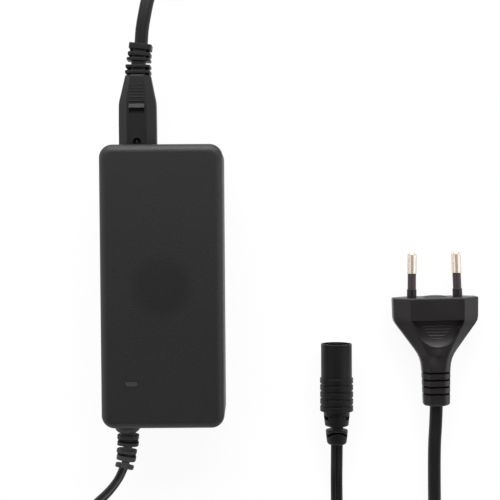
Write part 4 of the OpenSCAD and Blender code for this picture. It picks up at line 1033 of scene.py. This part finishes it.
def make_floor():
    """A plain floor just below the object: white with a faint shadow where it is seen, pale for light."""
    bpy.ops.mesh.primitive_plane_add(size=FLOOR_SIZE, location=(MIDDLE[0], MIDDLE[1], -0.2 * MM))
    floor = bpy.context.object
    floor.name = "floor"
    n = Nodes("floor_white")
    n.shader.inputs["Base Color"].default_value = grey(FLOOR_BASE)
    n.shader.inputs["Roughness"].default_value = 0.9
    n.shader.inputs["Specular IOR Level"].default_value = 0.1
    shadow = n.tree.nodes.new("ShaderNodeBsdfDiffuse")
    shadow.inputs["Color"].default_value = grey(FLOOR_SHADOW)
    glow = n.tree.nodes.new("ShaderNodeEmission")
    glow.inputs["Strength"].default_value = FLOOR_GLOW
    add = n.tree.nodes.new("ShaderNodeAddShader")
    choose = n.tree.nodes.new("ShaderNodeMixShader")
    seen = shows_backdrop(n.tree, ("Is Camera Ray", "Is Glossy Ray", "Is Transmission Ray"))
    n.link(shadow.outputs["BSDF"], add.inputs[0])
    n.link(glow.outputs["Emission"], add.inputs[1])
    n.link(seen, choose.inputs["Fac"])
    n.link(n.shader.outputs["BSDF"], choose.inputs[1])
    n.link(add.outputs["Shader"], choose.inputs[2])
    n.link(choose.outputs["Shader"], n.tree.nodes["Material Output"].inputs["Surface"])
    floor.data.materials.append(n.material)


def make_world():
    """White where it is seen; for gloss and light, a pale band round the horizon and a dim ceiling."""
    world = bpy.data.worlds.new("studio")
    bpy.context.scene.world = world
    world.use_nodes = True
    tree = world.node_tree
    place = tree.nodes.new("ShaderNodeTexCoord")
    split = tree.nodes.new("ShaderNodeSeparateXYZ")
    height = tree.nodes.new("ShaderNodeMapRange")
    height.interpolation_type = "SMOOTHSTEP"
    set_range(height, BAND_TOP, CEILING_FROM, HORIZON, CEILING)
    room = tree.nodes["Background"]
    room.inputs["Color"].default_value = grey(1)
    white = tree.nodes.new("ShaderNodeBackground")
    white.inputs["Color"].default_value = grey(1)
    white.inputs["Strength"].default_value = 1
    choose = tree.nodes.new("ShaderNodeMixShader")
    tree.links.new(place.outputs["Generated"], split.inputs["Vector"])
    tree.links.new(split.outputs["Z"], height.inputs["Value"])
    tree.links.new(height.outputs["Result"], room.inputs["Strength"])
    tree.links.new(shows_backdrop(tree, ("Is Camera Ray", "Is Transmission Ray")), choose.inputs["Fac"])
    tree.links.new(room.outputs["Background"], choose.inputs[1])
    tree.links.new(white.outputs["Background"], choose.inputs[2])
    tree.links.new(choose.outputs["Shader"], tree.nodes["World Output"].inputs["Surface"])


def softbox(name, at, aim, size, power):
    data = bpy.data.lights.new(name, "AREA")
    data.shape = "RECTANGLE"
    data.size, data.size_y = size
    data.energy = power
    lamp = bpy.data.objects.new(name, data)
    lamp.location = at
    lamp.rotation_euler = (Vector(aim) - Vector(at)).to_track_quat("-Z", "Y").to_euler()
    bpy.context.scene.collection.objects.link(lamp)


# ------------------------------------------------------------------ the whole object

finish_nodes()
make_mains_connector()
make_output_relief()
make_output_connector()
make_plug()
make_pins()

MAINS_OUT = along_y(MAINS_BLOCK.turn, 1)
MAINS_FROM = Vector((INLET_X + MAINS_BLOCK.shift, CASE_L / 2 + GRIP_END + MAINS_BLOCK.start, SEAM_Z))
PLUG_WAY = Vector((-sin(radians(PLUG_TURN)), cos(radians(PLUG_TURN)), 0))
make_cord(
    "mains_cord", MAINS_FROM + MAINS_OUT * MAINS_BLOCK.length, MAINS_OUT, MAINS_RUN, MAINS_COIL,
    MAINS_TAIL, PLUG_AT - PLUG_WAY * PLUG_END, PLUG_WAY, flat_section(MAINS_W, MAINS_T),
    "mains_cord", "mains_lead",
    replaces=["mains_cord_run", "mains_cord_coil", "mains_cord_tail"],
)
OUTPUT_OUT = along_y(OUTPUT_BLOCK.turn, -1)
OUTPUT_FROM = Vector((OUTLET_X - OUTPUT_BLOCK.shift, -CASE_L / 2 - OUTPUT_BLOCK.start, SEAM_Z))
CONNECTOR_WAY = Vector((0, 1, 0))
make_cord(
    "output_cord", OUTPUT_FROM + OUTPUT_OUT * OUTPUT_BLOCK.length, OUTPUT_OUT, OUTPUT_RUN, OUTPUT_COIL,
    OUTPUT_TAIL, CONNECTOR_AT - CONNECTOR_WAY * CONNECTOR_L, CONNECTOR_WAY, twin_section(OUT_W, OUT_T),
    "output_cord", "adapter",
    replaces=["output_cord_run", "output_cord_coil", "output_cord_tail"],
)

make_floor()
make_world()
for light_name, (light_at, light_aim, light_size, light_power) in LIGHTS.items():
    softbox(light_name, light_at, light_aim, light_size, light_power)

bpy.context.scene.view_settings.view_transform = "Standard"
